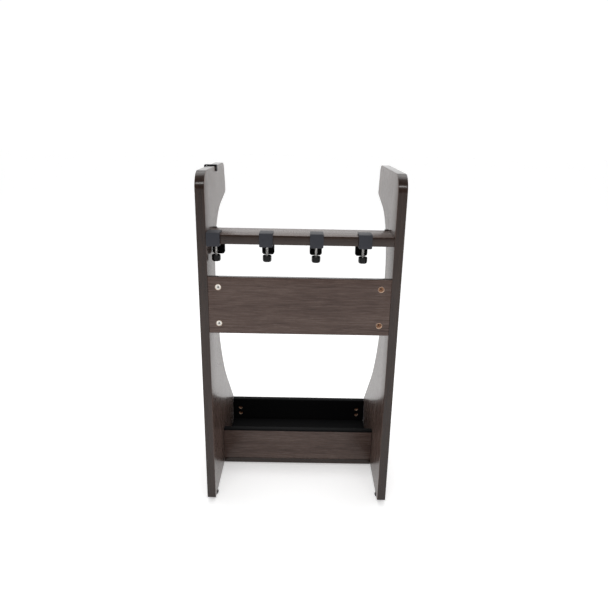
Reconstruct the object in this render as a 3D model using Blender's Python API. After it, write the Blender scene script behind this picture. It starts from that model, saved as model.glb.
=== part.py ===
"""Guitar rack: two shaped side panels joined by a neck rail, a back panel and a padded tray.

Four clamps with padded neck dividers grip the neck rail, and a strap hook hangs over one panel.
Metres, +Z up. X runs along the rail, the open front of the rack faces +Y, and Z = 0 is the floor.
"""

from math import cos, pi, radians, sin, tan

import bmesh
import bpy
from mathutils import Matrix, Vector

# Fits
GAP = 0.0003
BOLT_CLEARANCE = 0.0003
CAM_CLEARANCE = 0.0003

# Side panels, with heights measured from their bottom edge
RACK_WIDTH = 0.540
PANEL_THICKNESS = 0.025
PANEL_HEIGHT = 0.970
PANEL_FRONT_Y = 0.475
PANEL_EDGE_ROUNDING = 0.0012
WAIST_Y = 0.1345
WAIST_HEIGHT = 0.683
FLARE_RADIUS = 0.600
FLARE_ANGLE = 45.0
THROAT_RADIUS = 0.175
HEAD_UNDERSIDE_SLOPE = 12.0
HEAD_LOW_Y = 0.386
HEAD_TOP_Y = 0.362
REAR_TOP_RADIUS = 0.045
REAR_BOTTOM_RADIUS = 0.008
TOE_BOTTOM_RADIUS = 0.012
TOE_TOP_RADIUS = 0.030
HEAD_LOW_RADIUS = 0.010
HEAD_TOP_RADIUS = 0.030

# Feet
FOOT_RADIUS = 0.013
FOOT_INNER_OVERHANG = 0.0025
FOOT_HEIGHT = 0.008
FOOT_EDGE = 0.0015
FOOT_REAR_INSET = 0.040
FOOT_FRONT_INSET = 0.045

# Boards between the panels, with heights measured from the panels' bottom edge
BOARD_EDGE = 0.0008
RAIL_THICKNESS = 0.025
RAIL_DEPTH = 0.103
RAIL_TOP_HEIGHT = 0.811
BACK_THICKNESS = 0.015
BACK_HEIGHT = 0.159
BACK_TOP_HEIGHT = 0.6975
SHELF_THICKNESS = 0.018
TRAY_REAR_Y = 0.193
TRAY_FRONT_INSET = 0.010
TRAY_BOARD_THICKNESS = 0.015
REAR_BOARD_HEIGHT = 0.102
LIP_HEIGHT = 0.081

# Padding
TRAY_PAD_THICKNESS = 0.005
RAIL_PAD_THICKNESS = 0.005
RAIL_PAD_INSET = 0.001
PAD_EDGE = 0.0012
PAD_CAP_LENGTH = 0.013
PAD_CAP_THICKNESS = 0.006
PAD_CAP_RISE = 0.002

# Cam locks and their bolts
CAM_RADIUS = 0.0075
CAM_END_DISTANCE = 0.0272
CAM_BEYOND_MIDDLE = 0.005
CAM_SLOT_WIDTH = 0.0016
CAM_SLOT_DEPTH = 0.0015
CAM_SLOT_LENGTH = 0.009
BOLT_RADIUS = 0.0035
BOLT_IN_PANEL = 0.012
BACK_CAM_SPACING = 0.1025
RAIL_CAM_SETBACK = 0.023
LIP_CAM_HEIGHT = 0.0565
LIP_CAM_SPACING = 0.023

# Clamps on the neck rail. Their places are shares of the width between the side panels
CLAMP_PLACES = (0.0, 0.28041, 0.54980, 0.80796)
CLAMP_SIDE_GAP = 0.0006
CLAMP_WIDTH = 0.035
CLAMP_PLATE = 0.005
CLAMP_EDGE = 0.0010
CLAMP_CORNER = 0.0035
TOP_FLANGE_REACH = 0.040
JAW_REACH = 0.060
JAW_GAP = 0.0015
ARM_WIDTH = 0.024
ARM_EMBEDDED_SHORT = 0.006
SCREW_Y = 0.044
SCREW_RADIUS = 0.003
SCREW_CLEARANCE = 0.0004
SCREW_LENGTH = 0.0435
SCREW_TRAVEL = 0.0015
PRESSURE_PAD_RADIUS = 0.006
PRESSURE_PAD_THICKNESS = 0.0025
PAD_POCKET_CLEARANCE = 0.0005
KNOB_RADIUS = 0.0120
KNOB_LOBE_DEPTH = 0.0009
KNOB_LOBES = 6
KNOB_HEIGHT = 0.0165
KNOB_SEAT_DEPTH = 0.009
KNOB_EDGE = 0.0018

# Padded neck dividers: a block under the clamp's arm and a sleeve round the arm, joined by a web
DIVIDER_WIDTH = 0.034
BLOCK_SETBACK = 0.015
BLOCK_THICKNESS = 0.012
BLOCK_HEIGHT = 0.039
BLOCK_CORNER = 0.0045
SLEEVE_STANDOFF = 0.009
SLEEVE_LENGTH = 0.053
SLEEVE_HEIGHT = 0.034
SLEEVE_CORNER = 0.007
WEB_WIDTH = 0.022

# Strap hook over the top edge of the left panel
HOOK_Y = 0.200
HOOK_WIDTH = 0.020
HOOK_STRAP = 0.003
HOOK_STANDOFF = 0.004
HOOK_INNER_LEG = 0.015
HOOK_OUTER_LEG = 0.085
HOOK_BEND = 0.0115
HOOK_TIP_HEIGHT = 0.018
HOOK_EDGE = 0.0006

# Round shapes
SIDES_SMALL = 16
SIDES_LARGE = 24

COLOURS = {
    "dark_wood": ((0.055, 0.036, 0.030), 0.35, 0.0),
    "black_foam": ((0.010, 0.010, 0.011), 0.85, 0.0),
    "black_rubber": ((0.012, 0.012, 0.013), 0.60, 0.0),
    "zinc": ((0.62, 0.61, 0.60), 0.35, 1.0),
    "grey_metal": ((0.060, 0.062, 0.068), 0.42, 0.6),
    "steel": ((0.60, 0.60, 0.58), 0.25, 1.0),
    "black_plastic": ((0.014, 0.014, 0.016), 0.40, 0.0),
    "black_steel": ((0.012, 0.012, 0.013), 0.35, 0.5),
}

# Sizes that follow from the ones above
INNER_X = RACK_WIDTH / 2 - PANEL_THICKNESS
BOARD_END_X = INNER_X - GAP
PANEL_BOTTOM = FOOT_HEIGHT
PANEL_TOP = PANEL_BOTTOM + PANEL_HEIGHT
RAIL_TOP = PANEL_BOTTOM + RAIL_TOP_HEIGHT
RAIL_BOTTOM = RAIL_TOP - RAIL_THICKNESS
SHELF_TOP = PANEL_BOTTOM + SHELF_THICKNESS
TRAY_FRONT_Y = PANEL_FRONT_Y - TRAY_FRONT_INSET
CLAMP_REAR_Y = -GAP - CLAMP_PLATE
JAW_TOP = RAIL_BOTTOM - JAW_GAP
JAW_BOTTOM = JAW_TOP - CLAMP_PLATE
RAIL_CAM_Y = RAIL_DEPTH - RAIL_CAM_SETBACK
BLOCK_Y = RAIL_DEPTH - BLOCK_SETBACK
SLEEVE_REAR_Y = RAIL_DEPTH + SLEEVE_STANDOFF
FIRST_CLAMP_X = -INNER_X + CLAMP_SIDE_GAP + CLAMP_WIDTH / 2
ARM_REACH = SLEEVE_REAR_Y + SLEEVE_LENGTH - ARM_EMBEDDED_SHORT
HOOK_REACH = HOOK_STANDOFF + 2 * HOOK_BEND


def clear_scene():
    for obj in list(bpy.data.objects):
        bpy.data.objects.remove(obj, do_unlink=True)


def make_materials():
    """One Principled material for each finish in COLOURS."""
    for name, (colour, roughness, metallic) in COLOURS.items():
        material = bpy.data.materials.new(name)
        material.use_nodes = True
        shader = material.node_tree.nodes["Principled BSDF"]
        shader.inputs["Base Color"].default_value = (*colour, 1.0)
        shader.inputs["Roughness"].default_value = roughness
        shader.inputs["Metallic"].default_value = metallic


def make_origin():
    """The parent of every piece. It brings the middle of the rack's box over the frame's origin."""
    origin = bpy.data.objects.new("rack_origin", None)
    bpy.context.scene.collection.objects.link(origin)
    origin.location = (HOOK_REACH / 2, -(PANEL_FRONT_Y + CLAMP_REAR_Y) / 2, 0.0)
    return origin


def add_empty(name, parent, location):
    empty = bpy.data.objects.new(name, None)
    bpy.context.scene.collection.objects.link(empty)
    empty.parent = parent
    empty.location = location
    return empty


def add_object(name, bm, parent, location, material=None):
    """Turns a bmesh into an object at a place under its parent."""
    bmesh.ops.recalc_face_normals(bm, faces=bm.faces)
    mesh = bpy.data.meshes.new(name)
    bm.to_mesh(mesh)
    bm.free()
    obj = bpy.data.objects.new(name, mesh)
    bpy.context.scene.collection.objects.link(obj)
    obj.parent = parent
    obj.location = location
    if material:
        mesh.materials.append(bpy.data.materials[material])
    return obj


def add_bevel(obj, width, segments=1, angle=40.0):
    modifier = obj.modifiers.new("edges", "BEVEL")
    modifier.width = width
    modifier.segments = segments
    modifier.limit_method = "ANGLE"
    modifier.angle_limit = radians(angle)


def smooth(obj, angle=40.0):
    obj.data.shade_smooth()
    obj.data.set_sharp_from_angle(angle=radians(angle))


def hide_helper(obj):
    obj.hide_render = True
    obj.display_type = "WIRE"


def combine(target, helper, operation):
    """Adds or cuts a helper shape with an exact Boolean."""
    hide_helper(helper)
    modifier = target.modifiers.new(helper.name, "BOOLEAN")
    modifier.object = helper
    modifier.operation = operation
    modifier.solver = "EXACT"


def block_mesh(low, high):
    bm = bmesh.new()
    bmesh.ops.create_cube(bm, size=1.0)
    size = [b - a for a, b in zip(low, high)]
    middle = [(a + b) / 2 for a, b in zip(low, high)]
    bmesh.ops.scale(bm, vec=size, verts=bm.verts)
    bmesh.ops.translate(bm, vec=middle, verts=bm.verts)
    return bm


def add_block(name, low, high, parent, material, edge=BOARD_EDGE):
    """A straight board or pad between two corners, with its origin in its middle."""
    middle = Vector([(a + b) / 2 for a, b in zip(low, high)])
    half = Vector([(b - a) / 2 for a, b in zip(low, high)])
    obj = add_object(name, block_mesh(-half, half), parent, middle, material)
    if edge:
        add_bevel(obj, edge)
    return obj


def prism_mesh(outline, thickness, axis):
    """Extrudes a closed outline by a thickness centred on zero. The outline's plane is across the axis."""
    place = {
        "X": lambda u, v, w: (w, u, v),
        "Y": lambda u, v, w: (u, w, v),
        "Z": lambda u, v, w: (u, v, w),
    }[axis]
    bm = bmesh.new()
    low = [bm.verts.new(place(u, v, -thickness / 2)) for u, v in outline]
    high = [bm.verts.new(place(u, v, thickness / 2)) for u, v in outline]
    bm.faces.new(low[::-1])
    bm.faces.new(high)
    for index in range(len(outline)):
        following = (index + 1) % len(outline)
        bm.faces.new((low[index], low[following], high[following], high[index]))
    return bm


def turned_mesh(profile, sides):
    """Turns (radius, height) points, from bottom to top, round the Z axis and closes both ends."""
    bm = bmesh.new()
    rings = []
    for radius, height in profile:
        ring = []
        for side in range(sides):
            angle = 2 * pi * side / sides
            ring.append(bm.verts.new((radius * cos(angle), radius * sin(angle), height)))
        rings.append(ring)
    for lower, upper in zip(rings, rings[1:]):
        for side in range(sides):
            following = (side + 1) % sides
            bm.faces.new((lower[side], lower[following], upper[following], upper[side]))
    bm.faces.new(rings[0][::-1])
    bm.faces.new(rings[-1])
    return bm


def cylinder_cutter(name, parent, location, radius, length, axis):
    """A hidden cylinder from its location along +axis or, for a negative length, along -axis."""
    bm = turned_mesh([(radius, min(0, length)), (radius, max(0, length))], SIDES_SMALL)
    turn = {"X": Matrix.Rotation(pi / 2, 3, "Y"), "Y": Matrix.Rotation(-pi / 2, 3, "X"), "Z": Matrix()}
    bmesh.ops.rotate(bm, matrix=turn[axis], verts=bm.verts)
    cutter = add_object(name, bm, parent, location)
    hide_helper(cutter)
    return cutter


def arc(centre, radius, start, end, steps):
    """Points on an arc, angles in degrees, both ends included."""
    points = []
    for step in range(steps + 1):
        angle = radians(start + (end - start) * step / steps)
        points.append((centre[0] + radius * cos(angle), centre[1] + radius * sin(angle)))
    return points


def fillet(before, corner, after, radius, steps):
    """Points of the arc that rounds a corner between two straight edges."""
    corner = Vector(corner)
    back = (Vector(before) - corner).normalized()
    ahead = (Vector(after) - corner).normalized()
    half_angle = back.angle(ahead) / 2
    centre = corner + (back + ahead).normalized() * radius / sin(half_angle)
    start = corner + back * radius / tan(half_angle)
    end = corner + ahead * radius / tan(half_angle)
    points = []
    for step in range(steps + 1):
        direction = (start - centre).lerp(end - centre, step / steps).normalized()
        points.append(tuple(centre + direction * radius))
    return points


def panel_outline():
    """A side panel's outline as (y, height) points, anticlockwise from the rear bottom corner."""
    flare_centre = (WAIST_Y + FLARE_RADIUS, WAIST_HEIGHT)
    throat_centre = (WAIST_Y + THROAT_RADIUS, WAIST_HEIGHT)
    flare = arc(flare_centre, FLARE_RADIUS, 180 + FLARE_ANGLE, 180, 12)
    throat = arc(throat_centre, THROAT_RADIUS, 180, 90 + HEAD_UNDERSIDE_SLOPE, 12)
    toe_height = flare[0][1] - (PANEL_FRONT_Y - flare[0][0]) / tan(radians(FLARE_ANGLE))
    rise = (HEAD_LOW_Y - throat[-1][0]) * tan(radians(HEAD_UNDERSIDE_SLOPE))
    rear_bottom = (0.0, 0.0)
    toe_bottom = (PANEL_FRONT_Y, 0.0)
    toe_top = (PANEL_FRONT_Y, toe_height)
    head_low = (HEAD_LOW_Y, throat[-1][1] + rise)
    head_top = (HEAD_TOP_Y, PANEL_HEIGHT)
    rear_top = (0.0, PANEL_HEIGHT)
    outline = fillet(rear_top, rear_bottom, toe_bottom, REAR_BOTTOM_RADIUS, 4)
    outline += fillet(rear_bottom, toe_bottom, toe_top, TOE_BOTTOM_RADIUS, 4)
    outline += fillet(toe_bottom, toe_top, flare[0], TOE_TOP_RADIUS, 4)
    outline += flare + throat[1:]
    outline += fillet(throat[-1], head_low, head_top, HEAD_LOW_RADIUS, 5)
    outline += fillet(head_low, head_top, rear_top, HEAD_TOP_RADIUS, 6)
    outline += fillet(head_top, rear_top, rear_bottom, REAR_TOP_RADIUS, 8)
    return outline


def add_side_panel(side, origin, bolt_places):
    """side is -1 for the left panel and 1 for the right one."""
    name = f"{side_name(side)}_side_panel"
    place = (side * (RACK_WIDTH - PANEL_THICKNESS) / 2, 0.0, PANEL_BOTTOM)
    panel = add_object(name, prism_mesh(panel_outline(), PANEL_THICKNESS, "X"), origin, place, "dark_wood")
    add_bevel(panel, PANEL_EDGE_ROUNDING)
    for index, (y, z) in enumerate(bolt_places):
        mouth = (side * (INNER_X - GAP), y, z)
        depth = side * (GAP + BOLT_IN_PANEL + BOLT_CLEARANCE)
        radius = BOLT_RADIUS + BOLT_CLEARANCE
        cutter = cylinder_cutter(f"{name}_bolt_hole_{index}", origin, mouth, radius, depth, "X")
        combine(panel, cutter, "DIFFERENCE")
    smooth(panel)


def cam_height(board_thickness):
    return board_thickness / 2 + CAM_BEYOND_MIDDLE


def face_along(obj, direction):
    """Turns an object made along Z to face another way."""
    obj.rotation_mode = "QUATERNION"
    obj.rotation_quaternion = Vector((0, 0, 1)).rotation_difference(Vector(direction))


def add_cam(name, board, origin, mouth, outward, board_thickness):
    """A cam lock in a blind hole of a board. Its cross-slotted face lies at the mouth of the hole."""
    height = cam_height(board_thickness)
    place = Vector(mouth) - Vector(outward) * GAP
    cam_mesh = turned_mesh([(CAM_RADIUS, -height), (CAM_RADIUS, 0.0)], SIDES_SMALL)
    cam = add_object(name, cam_mesh, origin, place, "zinc")
    face_along(cam, outward)
    smooth(cam)
    slots = (("a", CAM_SLOT_WIDTH, CAM_SLOT_LENGTH), ("b", CAM_SLOT_LENGTH, CAM_SLOT_WIDTH))
    for turn, width, length in slots:
        low = (-width / 2, -length / 2, -CAM_SLOT_DEPTH)
        high = (width / 2, length / 2, GAP)
        slot = add_object(f"{name}_slot_{turn}", block_mesh(low, high), cam, (0, 0, 0))
        combine(cam, slot, "DIFFERENCE")
    radius = CAM_RADIUS + CAM_CLEARANCE
    hole = turned_mesh([(radius, -height - 2 * GAP), (radius, GAP)], SIDES_SMALL)
    cutter = add_object(f"{name}_hole", hole, origin, mouth)
    face_along(cutter, outward)
    combine(board, cutter, "DIFFERENCE")


def add_cam_bolt(name, board, origin, side, y, z):
    """A bolt along X, from the side of a cam lock into the side panel."""
    inner = INNER_X - CAM_END_DISTANCE + CAM_RADIUS + CAM_CLEARANCE + GAP
    outer = INNER_X + BOLT_IN_PANEL
    bm = turned_mesh([(BOLT_RADIUS, 0.0), (BOLT_RADIUS, side * (outer - inner))], SIDES_SMALL)
    bmesh.ops.rotate(bm, matrix=Matrix.Rotation(pi / 2, 3, "Y"), verts=bm.verts)
    bolt = add_object(name, bm, origin, (side * inner, y, z), "steel")
    smooth(bolt)
    start = (side * (INNER_X - CAM_END_DISTANCE), y, z)
    length = side * (CAM_END_DISTANCE + GAP)
    cutter = cylinder_cutter(f"{name}_hole", origin, start, BOLT_RADIUS + BOLT_CLEARANCE, length, "X")
    combine(board, cutter, "DIFFERENCE")


def side_name(side):
    return "left" if side < 0 else "right"


def level_name(level):
    return "lower" if level < 0 else "upper"


def back_cam_height(level):
    middle = PANEL_BOTTOM + BACK_TOP_HEIGHT - BACK_HEIGHT / 2
    return middle + level * BACK_CAM_SPACING / 2


def lip_cam_height(level):
    return PANEL_BOTTOM + LIP_CAM_HEIGHT + level * LIP_CAM_SPACING / 2


def bolt_places():
    """Where cam bolts enter each side panel, as (y, z)."""
    lip_middle = TRAY_FRONT_Y - TRAY_BOARD_THICKNESS / 2
    places = [(RAIL_CAM_Y, RAIL_BOTTOM + RAIL_THICKNESS / 2)]
    places += [(BACK_THICKNESS / 2, back_cam_height(level)) for level in (-1, 1)]
    places += [(lip_middle, lip_cam_height(level)) for level in (-1, 1)]
    return places


def add_back_panel(origin):
    top = PANEL_BOTTOM + BACK_TOP_HEIGHT
    low = (-BOARD_END_X, 0.0, top - BACK_HEIGHT)
    back = add_block("back_panel", low, (BOARD_END_X, BACK_THICKNESS, top), origin, "dark_wood")
    for side in (-1, 1):
        for level in (-1, 1):
            ending = f"{level_name(level)}_{side_name(side)}"
            z = back_cam_height(level)
            mouth = (side * (INNER_X - CAM_END_DISTANCE), 0.0, z)
            add_cam(f"back_cam_lock_{ending}", back, origin, mouth, (0, -1, 0), BACK_THICKNESS)
            add_cam_bolt(f"back_cam_bolt_{ending}", back, origin, side, BACK_THICKNESS / 2, z)


def add_neck_rail(origin):
    low = (-BOARD_END_X, 0.0, RAIL_BOTTOM)
    rail = add_block("neck_rail", low, (BOARD_END_X, RAIL_DEPTH, RAIL_TOP), origin, "dark_wood")
    middle = RAIL_BOTTOM + RAIL_THICKNESS / 2
    for side in (-1, 1):
        mouth = (side * (INNER_X - CAM_END_DISTANCE), RAIL_CAM_Y, RAIL_BOTTOM)
        add_cam(f"rail_cam_lock_{side_name(side)}", rail, origin, mouth, (0, 0, -1), RAIL_THICKNESS)
        add_cam_bolt(f"rail_cam_bolt_{side_name(side)}", rail, origin, side, RAIL_CAM_Y, middle)


def add_rail_padding(origin):
    """A foam strip along the front of the neck rail, between two rubber end caps."""
    rear = RAIL_DEPTH + GAP
    end = BOARD_END_X - PAD_CAP_LENGTH - GAP
    low = (-end, rear, RAIL_BOTTOM + RAIL_PAD_INSET)
    high = (end, rear + RAIL_PAD_THICKNESS, RAIL_TOP - RAIL_PAD_INSET)
    add_block("neck_rail_pad", low, high, origin, "black_foam", PAD_EDGE)
    for side in (-1, 1):
        ends = sorted((side * BOARD_END_X, side * (BOARD_END_X - PAD_CAP_LENGTH)))
        low = (ends[0], rear, RAIL_BOTTOM)
        high = (ends[1], rear + PAD_CAP_THICKNESS, RAIL_TOP + PAD_CAP_RISE)
        add_block(f"rail_pad_cap_{side_name(side)}", low, high, origin, "black_rubber", PAD_EDGE)


def hooked_pad_outline(wall_near, wall_far, bottom, top, thickness):
    """A pad that lines one side of a board and folds over its top edge, as (y, z) points.

    wall_near is the lined face of the board and wall_far is its other face.
    """
    out = 1 if wall_near > wall_far else -1
    lined = wall_near + out * GAP
    return [
        (lined, bottom),
        (lined + out * thickness, bottom),
        (lined + out * thickness, top + GAP + thickness),
        (wall_far, top + GAP + thickness),
        (wall_far, top + GAP),
        (lined, top + GAP),
    ]


def add_hooked_pad(name, origin, outline):
    pad_mesh = prism_mesh(outline, 2 * (BOARD_END_X - GAP), "X")
    pad = add_object(name, pad_mesh, origin, (0, 0, 0), "black_foam")
    add_bevel(pad, PAD_EDGE)
    return pad


def open_pad_over_cams(pad, origin, places, inward):
    """Round windows in a pad, so that the cam locks behind it can be reached."""
    for index, place in enumerate(places):
        start = (place[0], place[1] - inward * GAP, place[2])
        length = inward * (TRAY_PAD_THICKNESS + 3 * GAP)
        radius = CAM_RADIUS + CAM_CLEARANCE
        cutter = cylinder_cutter(f"{pad.name}_window_{index}", origin, start, radius, length, "Y")
        combine(pad, cutter, "DIFFERENCE")


def add_front_lip(origin, inner_face):
    """The lip, with two cam locks near each end of its inner face. Returns where the cam locks are."""
    low = (-BOARD_END_X, inner_face, SHELF_TOP + GAP)
    high = (BOARD_END_X, TRAY_FRONT_Y, SHELF_TOP + GAP + LIP_HEIGHT)
    lip = add_block("tray_front_lip", low, high, origin, "dark_wood")
    places = []
    for side in (-1, 1):
        for level in (-1, 1):
            ending = f"{level_name(level)}_{side_name(side)}"
            z = lip_cam_height(level)
            mouth = (side * (INNER_X - CAM_END_DISTANCE), inner_face, z)
            add_cam(f"lip_cam_lock_{ending}", lip, origin, mouth, (0, -1, 0), TRAY_BOARD_THICKNESS)
            middle_y = inner_face + TRAY_BOARD_THICKNESS / 2
            add_cam_bolt(f"lip_cam_bolt_{ending}", lip, origin, side, middle_y, z)
            places.append(mouth)
    return places


def add_tray(origin):
    """The shelf, its two upright boards and the foam that lines them."""
    rear_inner = TRAY_REAR_Y + TRAY_BOARD_THICKNESS
    lip_inner = TRAY_FRONT_Y - TRAY_BOARD_THICKNESS
    bottom = SHELF_TOP + GAP
    low = (-BOARD_END_X, TRAY_REAR_Y, PANEL_BOTTOM)
    add_block("tray_shelf", low, (BOARD_END_X, TRAY_FRONT_Y, SHELF_TOP), origin, "dark_wood")
    low = (-BOARD_END_X, TRAY_REAR_Y, bottom)
    high = (BOARD_END_X, rear_inner, bottom + REAR_BOARD_HEIGHT)
    add_block("tray_rear_board", low, high, origin, "dark_wood")
    lip_cams = add_front_lip(origin, lip_inner)
    rear_top = bottom + REAR_BOARD_HEIGHT
    lip_top = bottom + LIP_HEIGHT
    rear_outline = hooked_pad_outline(rear_inner, TRAY_REAR_Y, bottom, rear_top, TRAY_PAD_THICKNESS)
    lip_outline = hooked_pad_outline(lip_inner, TRAY_FRONT_Y, bottom, lip_top, TRAY_PAD_THICKNESS)
    add_hooked_pad("tray_rear_pad", origin, rear_outline)
    lip_pad = add_hooked_pad("tray_front_pad", origin, lip_outline)
    open_pad_over_cams(lip_pad, origin, lip_cams, -1)
    side_gap = TRAY_PAD_THICKNESS + 2 * GAP
    low = (-BOARD_END_X + GAP, rear_inner + side_gap, bottom)
    high = (BOARD_END_X - GAP, lip_inner - side_gap, bottom + TRAY_PAD_THICKNESS)
    add_block("tray_floor_pad", low, high, origin, "black_foam", PAD_EDGE)


def add_feet(origin):
    """A round rubber glide under each end of each side panel."""
    top = FOOT_HEIGHT - GAP
    profile = [
        (FOOT_RADIUS - FOOT_EDGE, 0.0),
        (FOOT_RADIUS, FOOT_EDGE),
        (FOOT_RADIUS, top - FOOT_EDGE),
        (FOOT_RADIUS - FOOT_EDGE, top),
    ]
    for side in (-1, 1):
        x = side * (INNER_X - FOOT_INNER_OVERHANG + FOOT_RADIUS)
        for end, y in (("rear", FOOT_REAR_INSET), ("front", PANEL_FRONT_Y - FOOT_FRONT_INSET)):
            name = f"foot_{end}_{side_name(side)}"
            foot = add_object(name, turned_mesh(profile, SIDES_LARGE), origin, (x, y, 0.0), "black_rubber")
            smooth(foot)


def add_clamp_body(index, base):
    """A C bracket: rear plate and top flange in one, with a jaw that runs on as a narrow arm."""
    half = CLAMP_WIDTH / 2
    top = RAIL_TOP + GAP + CLAMP_PLATE
    c_outline = [
        (CLAMP_REAR_Y, JAW_BOTTOM),
        (JAW_REACH, JAW_BOTTOM),
        (JAW_REACH, JAW_TOP),
        (-GAP, JAW_TOP),
        (-GAP, top - CLAMP_PLATE),
        (TOP_FLANGE_REACH, top - CLAMP_PLATE),
        (TOP_FLANGE_REACH, top),
        (CLAMP_REAR_Y, top),
    ]
    c_mesh = prism_mesh(c_outline, CLAMP_WIDTH, "X")
    body = add_object(f"clamp_body_{index}", c_mesh, base, (0, 0, 0), "grey_metal")
    add_bevel(body, CLAMP_EDGE)
    trim_outline = [
        (-half + CLAMP_CORNER, JAW_BOTTOM - CLAMP_EDGE),
        (half - CLAMP_CORNER, JAW_BOTTOM - CLAMP_EDGE),
        (half + CLAMP_EDGE, JAW_BOTTOM + CLAMP_CORNER),
        (half + CLAMP_EDGE, top + CLAMP_EDGE),
        (-half - CLAMP_EDGE, top + CLAMP_EDGE),
        (-half - CLAMP_EDGE, JAW_BOTTOM + CLAMP_CORNER),
    ]
    trim = add_object(f"clamp_trim_{index}", prism_mesh(trim_outline, 2 * RAIL_DEPTH, "Y"), base, (0, 0, 0))
    combine(body, trim, "INTERSECT")
    arm_low = (-ARM_WIDTH / 2, SCREW_Y, JAW_BOTTOM)
    arm_high = (ARM_WIDTH / 2, ARM_REACH, JAW_TOP)
    arm = add_object(f"clamp_arm_{index}", block_mesh(arm_low, arm_high), base, (0, 0, 0))
    combine(body, arm, "UNION")
    bore_start = (0, SCREW_Y, JAW_BOTTOM - GAP)
    bore_radius = SCREW_RADIUS + SCREW_CLEARANCE
    bore = cylinder_cutter(f"clamp_bore_{index}", base, bore_start, bore_radius, 2 * CLAMP_PLATE, "Z")
    combine(body, bore, "DIFFERENCE")
    pocket_floor = RAIL_BOTTOM - GAP - PRESSURE_PAD_THICKNESS - SCREW_TRAVEL - GAP
    pocket_radius = PRESSURE_PAD_RADIUS + PAD_POCKET_CLEARANCE
    pocket_depth = JAW_TOP - pocket_floor + GAP
    pocket = cylinder_cutter(
        f"clamp_pocket_{index}", base, (0, SCREW_Y, pocket_floor), pocket_radius, pocket_depth, "Z"
    )
    combine(body, pocket, "DIFFERENCE")


def knob_outline():
    """A round knob's outline with shallow grip hollows between its lobes."""
    points = []
    for side in range(SIDES_LARGE * 2):
        angle = 2 * pi * side / (SIDES_LARGE * 2)
        radius = KNOB_RADIUS - KNOB_LOBE_DEPTH * (1 - cos(KNOB_LOBES * angle)) / 2
        points.append((radius * cos(angle), radius * sin(angle)))
    return points


def add_clamp_screw(index, axis):
    """The pressure pad, the screw under it and the knob on the screw's lower end."""
    pad_top = RAIL_BOTTOM - GAP
    pad_bottom = pad_top - PRESSURE_PAD_THICKNESS
    pad_mesh = turned_mesh([(PRESSURE_PAD_RADIUS, pad_bottom), (PRESSURE_PAD_RADIUS, pad_top)], SIDES_SMALL)
    pad = add_object(f"pressure_pad_{index}", pad_mesh, axis, (0, 0, 0), "black_rubber")
    smooth(pad)
    screw_top = pad_bottom - GAP
    screw_bottom = screw_top - SCREW_LENGTH
    screw_mesh = turned_mesh([(SCREW_RADIUS, screw_bottom), (SCREW_RADIUS, screw_top)], SIDES_SMALL)
    screw = add_object(f"clamp_screw_{index}", screw_mesh, axis, (0, 0, 0), "steel")
    smooth(screw)
    knob_top = screw_bottom - GAP + KNOB_SEAT_DEPTH
    knob_mesh = prism_mesh(knob_outline(), KNOB_HEIGHT, "Z")
    knob_middle = (0, 0, knob_top - KNOB_HEIGHT / 2)
    knob = add_object(f"clamp_knob_{index}", knob_mesh, axis, knob_middle, "black_plastic")
    add_bevel(knob, KNOB_EDGE, 2)
    seat_radius = SCREW_RADIUS + SCREW_CLEARANCE
    seat_start = (0, 0, knob_top + GAP)
    seat_depth = KNOB_SEAT_DEPTH + GAP
    seat = cylinder_cutter(f"clamp_knob_seat_{index}", axis, seat_start, seat_radius, -seat_depth, "Z")
    combine(knob, seat, "DIFFERENCE")
    smooth(knob)


def add_neck_divider(index, base):
    """A foam block under the clamp's arm, and a foam sleeve on the arm that keeps two necks apart."""
    half = DIVIDER_WIDTH / 2
    top = JAW_BOTTOM - GAP
    bottom = top - BLOCK_HEIGHT
    outline = [
        (-half + BLOCK_CORNER, bottom),
        (half - BLOCK_CORNER, bottom),
        (half, bottom + BLOCK_CORNER),
        (half, top),
        (-half, top),
        (-half, bottom + BLOCK_CORNER),
    ]
    block_place = (0, BLOCK_Y + BLOCK_THICKNESS / 2, 0)
    block = prism_mesh(outline, BLOCK_THICKNESS, "Y")
    divider = add_object(f"neck_divider_{index}", block, base, block_place, "black_foam")
    add_bevel(divider, PAD_EDGE)
    arm_middle = (JAW_TOP + JAW_BOTTOM) / 2
    sleeve_low = (-half, SLEEVE_REAR_Y, arm_middle - SLEEVE_HEIGHT / 2)
    sleeve_high = (half, SLEEVE_REAR_Y + SLEEVE_LENGTH, arm_middle + SLEEVE_HEIGHT / 2)
    sleeve = add_object(f"neck_sleeve_{index}", block_mesh(sleeve_low, sleeve_high), base, (0, 0, 0))
    add_bevel(sleeve, SLEEVE_CORNER, 3)
    combine(divider, sleeve, "UNION")
    web_low = (-WEB_WIDTH / 2, BLOCK_Y + BLOCK_THICKNESS / 2, arm_middle - SLEEVE_HEIGHT / 2 + PAD_EDGE)
    web_high = (WEB_WIDTH / 2, SLEEVE_REAR_Y + SLEEVE_LENGTH / 2, top - PAD_EDGE)
    web = add_object(f"neck_web_{index}", block_mesh(web_low, web_high), base, (0, 0, 0))
    combine(divider, web, "UNION")
    slot_low = (-ARM_WIDTH / 2 - GAP, BLOCK_Y - BLOCK_THICKNESS, JAW_BOTTOM - GAP)
    slot_high = (ARM_WIDTH / 2 + GAP, ARM_REACH + GAP, JAW_TOP + GAP)
    slot = add_object(f"neck_slot_{index}", block_mesh(slot_low, slot_high), base, (0, 0, 0))
    combine(divider, slot, "DIFFERENCE")


def add_clamp(index, x, origin):
    """One clamp, under an empty in its middle plane and an empty on its screw's axis."""
    base = add_empty(f"clamp_base_{index}", origin, (x, 0, 0))
    axis = add_empty(f"clamp_axis_{index}", base, (0, SCREW_Y, 0))
    add_clamp_body(index, base)
    add_clamp_screw(index, axis)
    add_neck_divider(index, base)


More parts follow.
